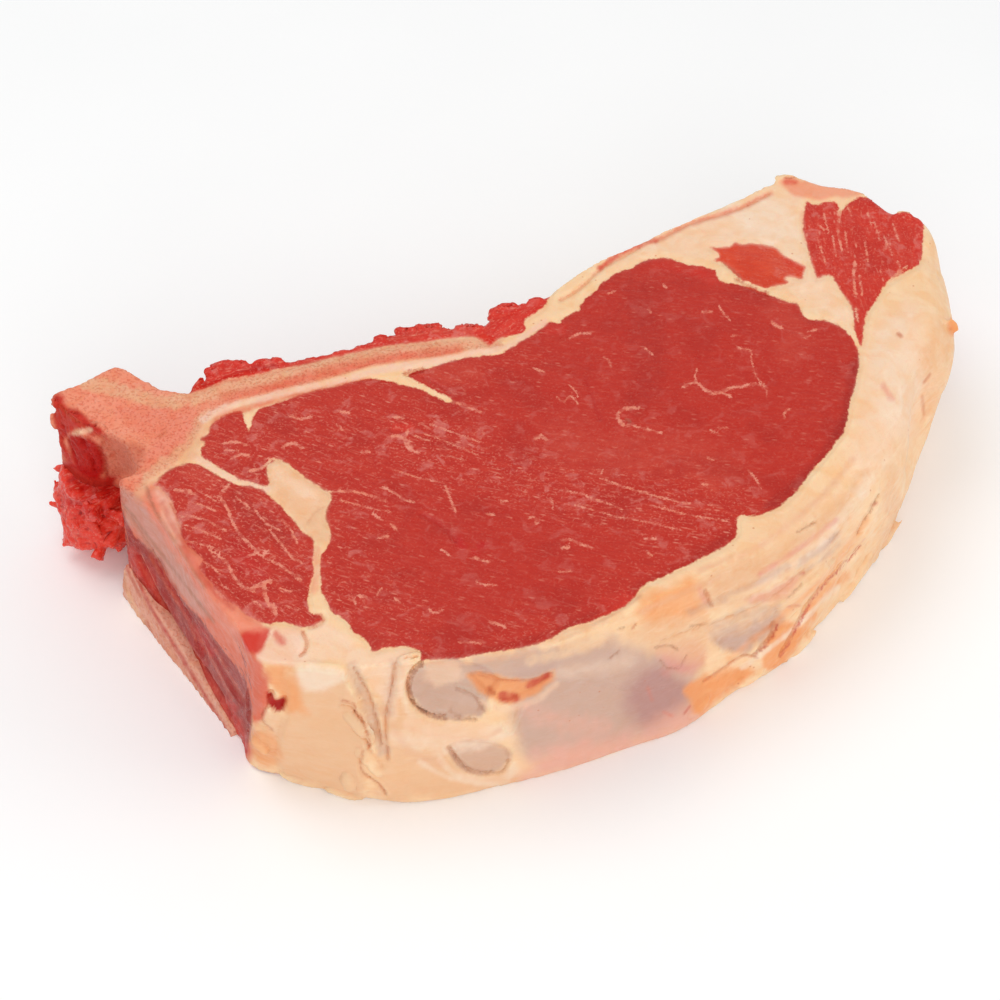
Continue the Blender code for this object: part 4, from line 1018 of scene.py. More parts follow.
def readPhoto(points, edges, piece):  # everything that the photo shows at points that face the camera
    spots = toPhoto(points)
    total = len(points)
    lean = np.full(total, -30.0)
    red = np.tile(linear("lean"), (total, 1))
    pale = np.tile(linear("waxy"), (total, 1))
    showing = [piece] if piece.get("alone") else pieces
    for other in showing:
        for loop in other.get("lean", []):
            depth = loopDepth(spots, smoothLoop(loop, 3))
            deeper = depth > lean
            lean[deeper] = depth[deeper]
            red[depth > -6] = linear(other["red"])
    bone = np.clip(loopDepth(spots, np.array(boneEnd["area"], float)) / 4 + 0.5, 0, 1)
    coarse = np.full(total, 0.3)
    for other in showing:
        for amount, half, softness, line in other.get("coarse", []):
            close, tone, part = spread(spots, ("", half, softness, 1.0, line))
            coarse[close] += (amount - coarse[close]) * part
    if piece.get("alone"):
        meaty = piece["tissue"] == "lean"
        lean[:], bone[:], coarse[:] = 30.0 if meaty else -30.0, 0.0 if meaty else 1.0, 0.6
        red[:], pale[:] = linear(piece["red"]), linear(piece["pale"])
    else:
        pale += (linear("sponge") - pale) * bone[:, None]
        for item in spineMeat["ground"]:
            close, tone, amount = spread(spots, item)
            blendTone(pale, close, tone, amount)
    for other in showing:
        for item in other.get("stains", []) + other.get("strokes", []):
            close, tone, amount = spread(spots, item)
            if other["tissue"] != "lean" or tone not in redTones or other is spineMeat:
                blendTone(pale, close, tone, amount)
            if other["tissue"] != "lean" or tone in redTones or other is spineMeat:
                offMeat = 1.0 if other["tissue"] == "lean" else ramp(-lean[close], -3, 2)
                blendTone(red, close, tone, amount * offMeat)
    inMeat = ramp(lean, 1.5, 5) * (1 - bone)
    pale += (linear("vein") - pale) * inMeat[:, None]
    veins = [vein for other in showing for vein in other.get("veins", [])]
    vein, veinWidth, chosen = markLines(spots, edges, veins, 9, 3.4)
    # creases with a darkness get shade painted into them, in the crease's tone
    creases = [crease for other in showing for crease in other.get("creases", []) if crease[2] > 0]
    crease, creaseWidth, chosen = markLines(spots, edges, [(item[0], item[4]) for item in creases], 9, 4.0)
    shade = np.zeros((total, 4))
    for number, item in enumerate(creases):
        shade[chosen == number] = (*linear(item[3]), item[2])
    return {"lean": lean, "red": red, "pale": pale, "bone": bone, "vein": vein, "veinWidth": veinWidth,
            "crease": crease, "creaseWidth": creaseWidth, "shade": shade, "coarse": coarse}


def unseen(points, piece):  # what is made up for the sides that the photo does not show
    total = len(points)
    large, small = mottle(points, 16.0, 3, 2), mottle(points, 5.0, 9, 2)
    lean = np.full(total, 30.0 if piece["tissue"] == "lean" else -30.0)
    red, pale = np.tile(linear(piece["red"]), (total, 1)), np.tile(linear(piece["pale"]), (total, 1))
    x, y, z = points.T
    shreds = mottle(points / (2.6, 1.0, 1.0), 4.5, 5, 3)
    if piece in (ribTrim, boneEnd, fatCap, eyeMuscle):
        covered = 34 * ramp(x, -4, 34) + 40 * ramp(-x, 62, 84)
        lean = np.where(y > 20, 34 * shreds + 12 * large + 13 - covered, lean)
    if piece in (flankMuscle, spineMeat):
        lean = 26 * shreds + 14 * large + 16
    if piece["tissue"] == "fat":
        clouds = (("sand", large), ("lilac", -large - 0.2), ("orange", small - 0.3), ("pink", -small - 0.35))
        for tone, amount in clouds:
            blendTone(pale, slice(None), tone, ramp(amount, 0, 0.45) * 0.55)
    if piece["tissue"] == "bone":
        blendTone(pale, slice(None), "tan", ramp(large, -0.1, 0.4) * 0.8)
        blendTone(pale, slice(None), "pink", ramp(small, 0.1, 0.5) * 0.5)
    if piece["tissue"] == "lean":
        blendTone(red, slice(None), "blood", ramp(large, 0.1, 0.6) * 0.6)
        blendTone(red, slice(None), "leanLight", ramp(small, 0.1, 0.6) * 0.5)
    far = np.full(total, 50.0)
    return {"lean": lean, "red": red, "pale": pale, "bone": np.full(total, float(piece["tissue"] == "bone")),
            "vein": far, "veinWidth": -far, "crease": far, "creaseWidth": -far, "shade": np.zeros((total, 4)),
            "coarse": np.full(total, 0.8)}


def facing(mesh):  # 1 where the camera sees the surface and on the underside, which repeats the upper face
    count, corners = len(mesh.polygons), len(mesh.loops)
    centres, across = np.empty(count * 3), np.empty(count * 3)
    corner, sides = np.empty(corners, np.int32), np.empty(count, np.int32)
    mesh.polygons.foreach_get("center", centres)
    mesh.polygons.foreach_get("normal", across)
    mesh.polygons.foreach_get("loop_total", sides)
    mesh.loops.foreach_get("vertex_index", corner)
    across = across.reshape(-1, 3)
    view = cameraFrame()[0] - centres.reshape(-1, 3)
    look = (across * view).sum(axis=1) / np.linalg.norm(view, axis=1)
    faceOf = np.repeat(np.arange(count), sides)
    best, down = np.full(len(mesh.vertices), -1.0), np.full(len(mesh.vertices), 1.0)
    np.maximum.at(best, corner, look[faceOf])
    np.minimum.at(down, corner, across[faceOf, 2])
    under = (down < -0.7) & (best < 0.03)
    return np.where(under, 1.0, ramp(best, 0.03, 0.22)), under


def fieldsOf(mesh, points, piece):  # what the photo shows, and what is made up where it shows nothing
    seen, under = facing(mesh)
    places = points.copy()
    places[under, 2] = slab["thickness"]
    for axis in (0, 1):
        places[under, axis] += 2.4 * mottle(points[under], 11.0, 40 + axis, 2)
    photo, other = readPhoto(places, readEdges(mesh), piece), unseen(points, piece)
    mixed = {}
    for name, values in photo.items():
        weight = seen if values.ndim == 1 else seen[:, None]
        mixed[name] = values * weight + other[name] * (1 - weight)
    return mixed


def grainOf(points, piece):  # millimetres along the fibres, across them and upward
    first, last, start, end = piece["grain"]
    part = np.clip((points[:, 0] - start) / (end - start), 0, 1) if end > start else np.zeros(len(points))
    angle = np.radians(first + (last - first) * part)
    x, y = points[:, 0] - (start + end) / 2, points[:, 1]
    cosine, sine = np.cos(angle), np.sin(angle)
    return np.column_stack([x * cosine + y * sine, y * cosine - x * sine, points[:, 2]])


def markPiece(solid, piece):  # the fields as attributes for the material
    points, normals = readPoints(solid.data)
    fields = fieldsOf(solid.data, points, piece)
    fields["grain"] = grainOf(points, piece)
    ridge, flake = tornRelief(points)
    spots = toPhoto(points)
    calm = within(spots, slab["smooth"], slab["smoothEdge"])
    torn = 0.35 + 0.65 * within(spots, slab["shreds"], slab["shredEdge"])
    onSide = 1 - ramp(normals[:, 2], 0.75, 0.98)
    # painted highlight on the torn ridges of the sides and painted shade in the troughs between them, from
    # the same relief as the geometry
    fields["ridgeLightAndShade"] = torn * (0.5 * ridge + 0.35 * flake) * onSide * (1 - calm) * (1 - fields["bone"])
    fields["calm"] = calm
    for name, values in fields.items():
        if name == "grain":
            writeField(solid.data, name, values, "FLOAT_VECTOR", "vector")
        elif values.ndim == 2:
            colours = values if values.shape[1] == 4 else np.column_stack([values, np.ones(len(values))])
            writeField(solid.data, name, colours, "FLOAT_COLOR", "color")
        else:
            writeField(solid.data, name, values)


# Relief of the slice

# The depth found here sets where the material paints shade into hollows and a highlight onto what stands out.
def markHollows(solid, rounds=5):  # depth of each point below its smoothed surroundings, negative if above
    mesh = solid.data
    points, normals = readPoints(mesh)
    first, second = readEdges(mesh).T
    total = len(points)
    count = np.bincount(first, minlength=total) + np.bincount(second, minlength=total)
    smooth = points.copy()
    for turn in range(rounds):
        around = []
        for axis in range(3):
            along = smooth[:, axis]
            around.append(np.bincount(first, along[second], total) + np.bincount(second, along[first], total))
        smooth = np.column_stack(around) / np.maximum(count, 1)[:, None]
    writeField(mesh, "hollow", ((smooth - points) * normals).sum(axis=1))


def within(spots, loops, softness):  # 1 inside the loops, 0 outside them
    part = np.zeros(len(spots))
    for loop in loops:
        part = np.maximum(part, ramp(loopDepth(spots, smoothLoop(loop, 3)), -softness, softness))
    return part


def tornRelief(points):  # ridges and flakes of torn fat, each about -1 to 1
    ridge = 1 - 2 * np.abs(mottle(points / (2.4, 2.4, 1.0), 2.6, 41, 2))
    flake = mottle(points / (1.7, 1.7, 1.0), 5.5, 42, 3) * 3
    return ridge, np.floor(flake) + ramp(flake - np.floor(flake), 0.0, 0.3)


# The relief of the slice: size and height in mm of each random layer, or a height alone
relief = {
    "sideSwell": (13.0, 0.45), "sideGrit": (1.4, 0.07), "tornLumps": (4.2, 0.24), "tornRidges": 0.10,
    "tornFlakes": 0.20, "smoothSkin": 0.85, "backLumps": (3.0, 0.8), "backGrit": (1.1, 0.3),
    "fatSwell": (6.0, 0.10), "fatGrit": (1.6, 0.05), "fibres": (1.1, 0.09), "meatSwell": (5.0, 0.14),
    "bundles": (9.0, 0.16), "edgeGroove": 0.20, "edgeLip": 0.16, "creaseLip": 0.7,
}


def shapeSlab(solid):
    points, normals = readPoints(solid.data)
    level = ramp(normals[:, 2], 0.985, 0.998) * (points[:, 2] > slab["thickness"] - 3)
    points[:, 2] += (faceHeight(points[:, 0], points[:, 1]) - points[:, 2]) * level
    points[(normals[:, 2] < -0.93) & (points[:, 2] < 0.6), 2] = 0.0
    seen, under = facing(solid.data)
    spots = toPhoto(points)
    lean = np.full(len(points), -30.0)
    for piece in pieces:
        for loop in piece.get("lean", []):
            lean = np.maximum(lean, loopDepth(spots, smoothLoop(loop, 3)))
    lean = np.where(seen > 0.5, lean, -30.0)
    onMeat = ramp(lean, -1.0, 2.0)
    onFace = ramp(normals[:, 2], 0.75, 0.98)
    onSide = (1 - onFace) * (1 - onMeat)
    fibres = grainOf(points, eyeMuscle)
    calm = within(spots, slab["smooth"], slab["smoothEdge"])
    torn = onSide * (1 - relief["smoothSkin"] * calm)
    ridge, flake = tornRelief(points)
    push = onSide * (uneven(relief, points, "sideSwell", 11, 2) + uneven(relief, points, "sideGrit", 13))
    rough = torn * (0.4 + 0.6 * within(spots, slab["shreds"], slab["shredEdge"]))
    shreds = relief["tornRidges"] * ridge + relief["tornFlakes"] * flake
    push += rough * (uneven(relief, points, "tornLumps", 12, 2) + shreds)
    x, y, z = points.T
    ragged = ramp(y, 34, 40) * ramp(-x, -12, 0) * ramp(z, 20, 34) * (1 - onFace)  # the back of the rib
    push += ragged * (uneven(relief, points, "backLumps", 43, 3) + uneven(relief, points, "backGrit", 44))
    topFat = uneven(relief, points, "fatSwell", 14, 2) + uneven(relief, points, "fatGrit", 15)
    push += onFace * (1 - onMeat) * topFat
    long, longer = fibres / (2.0, 1.0, 1.0), fibres / (4.0, 1.0, 1.0)
    push += onMeat * (uneven(relief, longer, "fibres", 16, 2) + uneven(relief, points, "meatSwell", 17, 2)
                      + uneven(relief, long, "bundles", 18, 2))
    push -= relief["edgeGroove"] * np.clip(1 - np.abs(lean + 0.5) / 4, 0, 1)
    push += relief["edgeLip"] * np.clip(1 - np.abs(lean + 6) / 6, 0, 1) * onFace
    for piece in pieces:
        for half, depth, darkness, tone, line in piece.get("creases", []):
            line = smoothLine(line, 3)
            wide = half * 1.6 + 1.6
            close = nearby(spots, line, wide * 5)
            side, distance, past = sideOf(spots[close], line)
            fade = seen[close] * depth * np.clip(1 - past / 3, 0, 1)
            push[close] -= fade * np.clip(1 - distance / wide, 0, 1)
            lip = np.where(side * slab["lipSide"] > 0, 1 - np.clip(distance / (wide * 5), 0, 1), 0) ** 2
            push[close] += relief["creaseLip"] * fade * lip * (1 - onMeat[close]) * (1 - onFace[close])
        for depth, softness, loop in piece.get("steps", []):
            loop = smoothLoop(loop, 3)
            close = nearby(spots, loop, softness)
            push[close] -= seen[close] * depth * ramp(loopDepth(spots[close], loop), -softness, softness)
    push[under] = 0.0
    pushOut(solid.data, points, normals, push)


def prism(name, outline, steps=10):  # a tall cutter with a slightly ragged outline
    curve = counterClockwise(smoothLoop(outline, steps))
    wobble = mottle(onSheet(curve), 3.0, 21, 2)
    curve = curve + outward(curve) * (0.35 * wobble)[:, None]
    return loft(name, [np.column_stack([curve, np.full(len(curve), height)]) for height in (-10.0, 60.0)])


def carve(rest, piece):
    cutter = prism("cutter", piece["plan"])
    solid = twinOf(rest, piece["node"])
    combine(solid, cutter, "INTERSECT", keep=True)
    combine(rest, cutter, "DIFFERENCE")
    return solid


def makeStrip():
    line = smoothLine(spineStrip["line"], spineStrip["steps"])
    depth, tilt = spineStrip["depth"], spineStrip["tilt"]
    rings = []
    for x, y, height in line[::-1]:
        corners = [(x, y, 0), (x + depth, y, 0), (x + depth, y, height), (x + tilt, y, height)]
        rings.append([Vector(corner) for corner in corners])
    solid = loft("strip", rings)
    remesh(solid, spineStrip["face"])
    points, normals = readPoints(solid.data)
    inner, outer = spineStrip["lumpHeight"]
    height = inner + (outer - inner) * ramp(-normals[:, 0], 0.1, 0.7)
    push = height * uneven(spineStrip, points, "lumps", 31, 2) + uneven(spineStrip, points, "grit", 32)
    pushOut(solid.data, points, normals, push)
    return solid


def lumpScale(part):  # the lump is narrower at its foot
    foot = 1 - ramp(part, 0, chineLump["foot"])
    return np.array([1 - chineLump["tuck"] * foot, 1 - chineLump["undercut"] * foot])


def makeLump():
    outline = counterClockwise(smoothLoop(chineLump["plan"], chineLump["steps"]))
    back = outline.max(axis=0)
    rings = []
    for part in np.linspace(0, 1, chineLump["levels"]):
        curve = back + (outline - back) * lumpScale(part)
        height = part * chineLump["height"] + chineLump["tilt"] * (curve[:, 1] - back[1]) * part
        spots = np.column_stack([curve, height])
        offset = chineLump["ragged"] * mottle(spots, chineLump["raggedSize"], 33, 2)
        offset -= chineLump["taper"] * part ** 3
        curve = curve + outward(curve) * offset[:, None]
        rings.append(np.column_stack([curve, height]))
    solid = loft("lump", rings)
    draw = np.random.default_rng(chineLump["seed"])
    for number in range(chineLump["shards"]):  # tatters of meat that hang from it
        part = draw.uniform(*chineLump["shardPlace"])
        x, y = back + (outline[draw.integers(len(outline))] - back) * lumpScale(part)
        size = draw.uniform(*chineLump["shardSize"])
        length, tip = size * draw.uniform(*chineLump["shardLength"]), size * chineLump["shardTip"]
        bm = bmesh.new()
        bmesh.ops.create_cone(bm, cap_ends=True, segments=7, radius1=size, radius2=tip, depth=length)
        bmesh.ops.scale(bm, vec=chineLump["shardFlat"], verts=bm.verts[:])
        aim = Vector((draw.uniform(-1, 1), draw.uniform(-1, 1), draw.uniform(-1.4, 0.5)))
        bmesh.ops.rotate(bm, matrix=aim.to_track_quat("Z", "X").to_matrix(), verts=bm.verts[:])
        bmesh.ops.translate(bm, vec=(x, y, part * chineLump["height"]), verts=bm.verts[:])
        combine(solid, newObject("shard", bm), "UNION")
    remesh(solid, chineLump["face"])
    points, normals = readPoints(solid.data)
    fibres = grainOf(points, chineLump)
    size, height = chineLump["ridges"]
    push = height * (1 - np.abs(mottle(fibres / (2.6, 1.0, 1.0), size, 34, 2)) * 2)
    push += uneven(chineLump, points, "lumps", 35, 2) + uneven(chineLump, points, "grit", 36)
    pushOut(solid.data, points, normals, push)
    return solid


# Materials

finish = {
    "meatRoughness": 0.36, "fatRoughness": 0.44, "roughnessSpread": 0.12, "gloss": 0.28, "softness": 0.12,
    "softRadius": (1.0, 0.35, 0.2), "softDepth": 0.0012, "bumpStrength": 0.55, "bumpDepth": 0.0003,
    # painted shade and highlight: how strongly hollows are darkened, how strongly places that stand out are
    # paled, and the tint of the painted shade in the hollows; then the tint of the painted highlight
    "hollows": (0.45, 0.3, (0.86, 0.66, 0.54)), "highlightTint": (1.05, 1.25, 1.3),
}


def addNode(tree, kind, inputs=None, **settings):
    node = tree.nodes.new("ShaderNode" + kind)
    for name, value in settings.items():
        setattr(node, name, value)
    for socket, value in (inputs or {}).items():
        if isinstance(value, bpy.types.NodeSocket):
            tree.links.new(value, node.inputs[socket])
        else:
            node.inputs[socket].default_value = value
    return node


def calculate(tree, operation, *values):
    return addNode(tree, "Math", dict(enumerate(values)), operation=operation).outputs[0]


def remap(tree, value, low, high, start=0.0, end=1.0):
    inputs = {"Value": value, "From Min": low, "From Max": high, "To Min": start, "To Max": end}
    return addNode(tree, "MapRange", inputs, interpolation_type="SMOOTHSTEP").outputs["Result"]


def mixTones(tree, amount, first, second, blend="MIX"):
    def asTone(value):
        return value if isinstance(value, bpy.types.NodeSocket) else (*value, 1.0)
    inputs = {0: amount, 6: asTone(first), 7: asTone(second)}
    return addNode(tree, "Mix", inputs, data_type="RGBA", blend_type=blend).outputs[2]


def field(tree, name, output="Fac"):
    return addNode(tree, "Attribute", attribute_name=name).outputs[output]


def noise(tree, vector, scale, detail=2.0, stretch=(1, 1, 1), distortion=0.0):
    placed = addNode(tree, "Mapping", {"Vector": vector, "Scale": stretch}).outputs[0]
    inputs = {"Vector": placed, "Scale": scale, "Detail": detail, "Distortion": distortion}
    return addNode(tree, "TexNoise", inputs).outputs[0]


def cells(tree, vector, scale, stretch=(1, 1, 1), output="Distance"):
    placed = addNode(tree, "Mapping", {"Vector": vector, "Scale": stretch}).outputs[0]
    return addNode(tree, "TexVoronoi", {"Vector": placed, "Scale": scale}).outputs[output]


def scaled(tree, value, amount):
    return calculate(tree, "MULTIPLY", value, amount)


def added(tree, value, amount):
    return calculate(tree, "ADD", value, amount)


def tint(tree, tone, factors):  # the tone times red, green and blue factors
    return mixTones(tree, 1.0, tone, factors, "MULTIPLY")


def cover(tree, tone, second, mask, amount):  # lays the second tone over the first where the mask is high
    return mixTones(tree, scaled(tree, mask, amount), tone, second)


def coverAll(tree, tone, layers):  # each layer is a second tone, a pattern, its range and an amount
    for second, pattern, low, high, amount in layers:
        tone = cover(tree, tone, second, remap(tree, pattern, low, high), amount)
    return tone


def meatMask(tree, place, edge, fine):  # 1 on red meat: inside its torn outline and off the fat lines in it
    lean = added(tree, field(tree, "lean"), remap(tree, edge, 0.25, 0.75, -0.9, 0.9))
    lean = added(tree, lean, remap(tree, fine, 0.25, 0.75, -0.25, 0.25))
    onMeat = remap(tree, lean, -1.1, 1.1)
    wide = added(tree, field(tree, "veinWidth"), remap(tree, fine, 0.3, 0.7, -1.2, 0.5))
    wander = added(tree, field(tree, "vein"), remap(tree, edge, 0.2, 0.8, -0.5, 0.5))
    onVein = remap(tree, calculate(tree, "SUBTRACT", wide, calculate(tree, "ABSOLUTE", wander)), -1.1, 0.5)
    broken = remap(tree, noise(tree, place, 0.6, 3.0), 0.36, 0.60, 0.15, 0.85)
    return scaled(tree, onMeat, calculate(tree, "SUBTRACT", 1.0, scaled(tree, onVein, broken)))


def creaseMask(tree, edge, fine, depth):  # how deep the place lies in a crease
    narrow = added(tree, field(tree, "creaseWidth"), remap(tree, fine, 0.3, 0.7, -1.0, 0.3))
    wander = added(tree, field(tree, "crease"), remap(tree, edge, 0.2, 0.8, -1.1, 1.1))
    inside = calculate(tree, "SUBTRACT", narrow, calculate(tree, "ABSOLUTE", wander))
    return scaled(tree, remap(tree, inside, -2.2, 1.2), depth)


def redMeat(tree, place, grain, speckle, fibres, threads):  # bundles of fibres, pale grains, clouds
    coarse, red = field(tree, "coarse"), field(tree, "red", "Color")
    grainShape = (0.34, 1.0, 1.0)
    vein, pink = tuple(linear("vein")), tuple(linear("pink"))
    paler, darker = tint(tree, red, (1.12, 1.9, 2.0)), tint(tree, red, (0.78, 0.55, 0.55))
    bundles = scaled(tree, remap(tree, fibres, 0.3, 0.72), added(tree, scaled(tree, coarse, 0.75), 0.12))
    tone = mixTones(tree, bundles, mixTones(tree, 0.22, red, darker), paler)
    blotch = noise(tree, place, 0.32, 4.0, (1, 1, 1), 0.7)
    tone = coverAll(tree, tone, (
        (darker, noise(tree, place, 0.10, 3.0), 0.48, 0.72, 0.5),
        (darker, speckle, 0.54, 0.70, added(tree, scaled(tree, coarse, 0.35), 0.12)),
        (vein, threads, 0.56, 0.74, scaled(tree, coarse, 0.46)),
        (vein, speckle, 0.44, 0.32, scaled(tree, coarse, 0.42)),
        (pink, blotch, 0.54, 0.70, scaled(tree, coarse, 0.42)),
        # the last layer paints tiny whitish glints on the meat
        (paler, noise(tree, place, 5.0, 2.0), 0.58, 0.72, 0.18)))
    picked = addNode(tree, "SeparateColor", {0: cells(tree, grain, 1.0, grainShape, "Color")}).outputs[0]
    near = remap(tree, cells(tree, grain, 1.0, grainShape), 0.30, 0.10)
    dashes = scaled(tree, near, remap(tree, picked, 0.72, 0.80))
    return cover(tree, tone, vein, scaled(tree, dashes, added(tree, coarse, 0.15)), 0.62)


def fatAndBone(tree, place, speckle, films, torn, pores):  # waxy clouds, films, torn streaks, specks, marrow
    bone, ridgeLightAndShade, pale = field(tree, "bone"), field(tree, "ridgeLightAndShade"), field(tree, "pale", "Color")
    warmer, whiter = tint(tree, pale, (0.98, 0.82, 0.64)), tint(tree, pale, (1.05, 1.14, 1.24))
    pinker, redder = tint(tree, pale, (0.96, 0.72, 0.66)), tint(tree, pale, (0.92, 0.58, 0.50))
    wax = noise(tree, place, 0.22, 5.0, (1, 1, 1), 0.6)
    tone = coverAll(tree, pale, (
        (warmer, wax, 0.42, 0.68, 0.50), (whiter, films, 0.50, 0.72, 0.50), (warmer, films, 0.46, 0.28, 0.42),
        (pinker, torn, 0.54, 0.72, 0.22), (warmer, speckle, 0.60, 0.74, 0.12)))
    # painted highlight on the crests of the torn fat and painted shade in its troughs
    crestHighlight, troughShade = tint(tree, tone, (1.03, 1.08, 1.16)), tint(tree, pale, (0.96, 0.80, 0.66))
    tone = coverAll(tree, tone, ((crestHighlight, ridgeLightAndShade, 0.1, 0.8, 0.6), (troughShade, ridgeLightAndShade, -0.1, -0.8, 0.5)))
    tone = cover(tree, tone, pale, field(tree, "calm"), 0.6)
    chosen = addNode(tree, "SeparateColor", {0: cells(tree, place, 0.4, output="Color")}).outputs[1]
    specks = scaled(tree, remap(tree, cells(tree, place, 0.4), 0.13, 0.05), remap(tree, chosen, 0.86, 0.90))
    tone = cover(tree, tone, tuple(linear("rust")), specks, 0.5)
    marrow = remap(tree, noise(tree, place, 0.7, 5.0, (1, 1, 1), 0.5), 0.46, 0.68)
    tone = cover(tree, tone, pinker, scaled(tree, marrow, bone), 0.5)
    tone = cover(tree, tone, redder, pores, 0.7)
    return cover(tree, tone, whiter, scaled(tree, remap(tree, torn, 0.46, 0.34), bone), 0.35)


def flesh(piece):
    material = bpy.data.materials.new(piece["node"] + "Flesh")
    material.use_nodes = True
    tree = material.node_tree
    surface = tree.nodes["Principled BSDF"]
    place = addNode(tree, "TexCoord").outputs["Object"]
    place = addNode(tree, "Mapping", {"Vector": place, "Scale": (1000, 1000, 1000)}).outputs[0]  # millimetres
    grain = field(tree, "grain", "Vector")
    edge, fine = noise(tree, place, 0.8, 3.0), noise(tree, place, 3.0, 2.0)
    speckle = noise(tree, place, 1.9, 3.0)
    fibres = noise(tree, grain, 1.0, 4.0, (0.2, 0.8, 0.8), 0.9)
    threads = noise(tree, grain, 1.0, 3.0, (0.42, 1.9, 1.9), 0.5)
    films = noise(tree, place, 0.30, 5.0, (0.5, 0.5, 1.5), 1.2)
    torn = noise(tree, place, 1.5, 5.0, (0.6, 0.6, 1.6), 0.8)
    pores = scaled(tree, remap(tree, noise(tree, place, 1.7, 4.0), 0.52, 0.66), field(tree, "bone"))

    # colour: meat over fat or bone, with painted shade in hollows, a painted highlight on what stands out,
    # and painted shade in creases in each crease's tone
    meat = meatMask(tree, place, edge, fine)
    pale = fatAndBone(tree, place, speckle, films, torn, pores)
    colour = mixTones(tree, meat, pale, redMeat(tree, place, grain, speckle, fibres, threads))
    hollow = field(tree, "hollow")
    deep, high, hollowShadeTint = piece.get("hollows", finish["hollows"])
    colour = cover(tree, colour, tint(tree, colour, hollowShadeTint), remap(tree, hollow, 0.04, 0.22), deep)
    highlightedColour = tint(tree, colour, finish["highlightTint"])
    colour = cover(tree, colour, highlightedColour, remap(tree, hollow, -0.04, -0.22), high)
    shade = addNode(tree, "Attribute", attribute_name="shade")
    inCrease = creaseMask(tree, edge, fine, shade.outputs["Alpha"])
    colour = cover(tree, colour, shade.outputs["Color"], inCrease, remap(tree, edge, 0.35, 0.65, 0.35, 0.85))
    tree.links.new(colour, surface.inputs["Base Color"])

    # shine: meat is wetter than fat
    shine = piece.get("wet", 0.0)
    roughness = [(finish[name] - shine,) * 3 for name in ("fatRoughness", "meatRoughness")]
    change = finish["roughnessSpread"]
    rough = remap(tree, noise(tree, place, 0.5, 3.0), 0.3, 0.7, -change, change)
    rough = added(tree, mixTones(tree, meat, *roughness), rough)
    tree.links.new(rough, surface.inputs["Roughness"])
    surface.inputs["Specular IOR Level"].default_value = piece.get("gloss", finish["gloss"])
    surface.inputs["Subsurface Weight"].default_value = finish["softness"]
    surface.inputs["Subsurface Radius"].default_value = finish["softRadius"]
    surface.inputs["Subsurface Scale"].default_value = finish["softDepth"]

    # fine grain of fibres, films and pores
    grooves = added(tree, scaled(tree, fibres, 0.7), scaled(tree, threads, 0.5))
    bumps = added(tree, scaled(tree, films, 0.9), scaled(tree, torn, 0.5))
    bumps = calculate(tree, "SUBTRACT", bumps, scaled(tree, pores, 0.8))
    height = addNode(tree, "Mix", {0: meat, 2: bumps, 3: grooves}).outputs[0]
    height = calculate(tree, "SUBTRACT", height, scaled(tree, inCrease, 0.6))
    inputs = {"Height": height, "Strength": finish["bumpStrength"], "Distance": finish["bumpDepth"]}
    tree.links.new(addNode(tree, "Bump", inputs).outputs[0], surface.inputs["Normal"])
    return material


def finishPiece(solid, piece):  # plan millimetres to metres about the origin, material, place in the part
    markPiece(solid, piece)
    mesh = solid.data
    points, normals = readPoints(mesh)
    points[:, 0] += planShift[0]
    points[:, 1] += planShift[1]
    writePoints(mesh, points * millimetre)
    mesh.shade_smooth()
    mesh.set_sharp_from_angle(angle=math.radians(60))
    mesh.materials.clear()
    mesh.materials.append(flesh(piece))
    solid.name = piece["node"] + "Show"
    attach(solid, "root")
    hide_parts(piece["node"])
    mesh.calc_loop_triangles()
    print(solid.name, len(mesh.loop_triangles), "triangles")


# Making the steak

strip, lump = makeStrip(), makeLump()
markHollows(strip)
markHollows(lump)
print("strip and lump made")
steak = makeSlab()
addScraps(steak)
remesh(steak, slab["grain"])
print("slice made,", len(steak.data.vertices), "points")
shapeSlab(steak)
markHollows(steak)
combine(steak, strip, "DIFFERENCE", keep=True)
combine(steak, lump, "DIFFERENCE", keep=True)
carved = []
for piece in (eyeMuscle, smallMuscle, sliverMuscle, flankMuscle, seamFat, ribTrim, boneEnd, spineMeat):
    carved.append((carve(steak, piece), piece))
carved += [(steak, fatCap), (strip, spineStrip), (lump, chineLump)]
print("slice carved")
for solid, piece in carved:
    finishPiece(solid, piece)


# Floor, light and camera

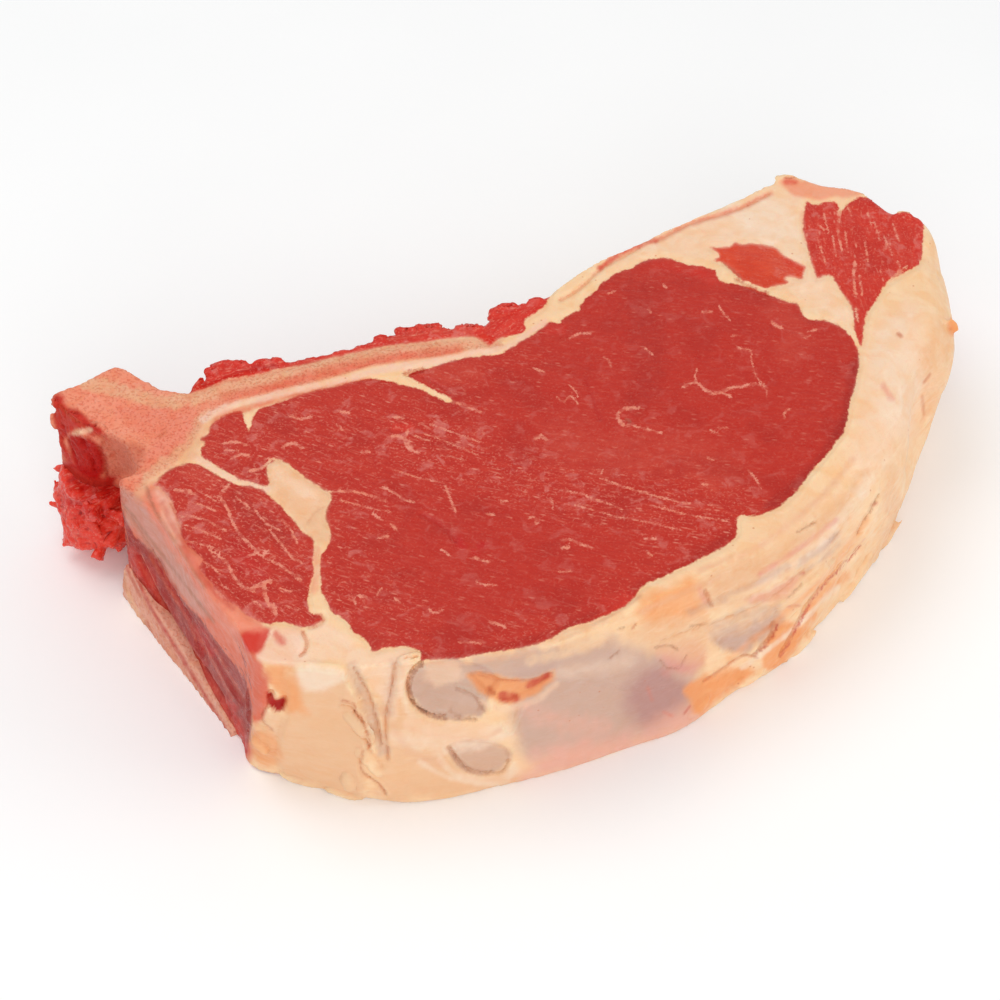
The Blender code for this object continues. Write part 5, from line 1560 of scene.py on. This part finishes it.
room = {
    "floorSize": 2.0, "floorTones": ((0.95, 0.955, 0.955), (0.98, 0.985, 0.985)),
    "floorRoughness": (0.5, 0.6),
    "floorGlow": 0.06, "cloudScale": 14.0, "sky": 0.58, "lightsAimAt": (0.0, 0.0, 0.02),
    "lights": {  # place in metres, size, power
        "overhead": ((-0.3, 0.3, 1.1), 0.8, 3.6), "front": ((-0.35, -0.95, 0.65), 0.8, 3.6),
        "side": ((0.95, -0.55, 0.6), 0.8, 2.2)},
}


def makeFloor():
    bm = bmesh.new()
    bmesh.ops.create_grid(bm, x_segments=8, y_segments=8, size=room["floorSize"])
    floor = newObject("floor", bm)
    material = bpy.data.materials.new("paleFloor")
    material.use_nodes = True
    tree = material.node_tree
    place = addNode(tree, "TexCoord").outputs["Object"]
    cloud = noise(tree, place, room["cloudScale"], 3.0)
    surface = tree.nodes["Principled BSDF"]
    tree.links.new(mixTones(tree, cloud, *room["floorTones"]), surface.inputs["Base Color"])
    tree.links.new(remap(tree, cloud, 0.2, 0.8, *room["floorRoughness"]), surface.inputs["Roughness"])
    surface.inputs["Emission Color"].default_value = (1, 1, 1, 1)
    surface.inputs["Emission Strength"].default_value = room["floorGlow"]
    floor.data.materials.append(material)


def makeLight(name, place, size, power):
    lamp = bpy.data.lights.new(name, "AREA")
    lamp.shape, lamp.size, lamp.energy = "DISK", size, power
    light = bpy.data.objects.new(name, lamp)
    light.location = place
    aim = Vector(room["lightsAimAt"]) - Vector(place)
    light.rotation_euler = aim.to_track_quat("-Z", "Y").to_euler()
    bpy.context.scene.collection.objects.link(light)


def makeCamera():
    view = bpy.data.cameras.new("view")
    view.lens, view.sensor_width, view.clip_start = camera["lens"], camera["sensor"], 0.01
    eye = bpy.data.objects.new("view", view)
    place, right, up, back = cameraFrame()
    eye.location = [(value + shift) * millimetre for value, shift in zip(place, (*planShift, 0.0))]
    eye.rotation_euler = Vector(back).to_track_quat("Z", "Y").to_euler()
    bpy.context.scene.collection.objects.link(eye)
    bpy.context.scene.camera = eye


makeFloor()
makeCamera()
for name, values in room["lights"].items():
    makeLight(name, *values)
world = bpy.data.worlds.new("room")
world.use_nodes = True
background = world.node_tree.nodes["Background"]
background.inputs["Color"].default_value = (1.0, 1.0, 1.0, 1.0)
background.inputs["Strength"].default_value = room["sky"]
bpy.context.scene.world = world
bpy.context.scene.view_settings.view_transform = "Standard"
print("floor, light and camera made")
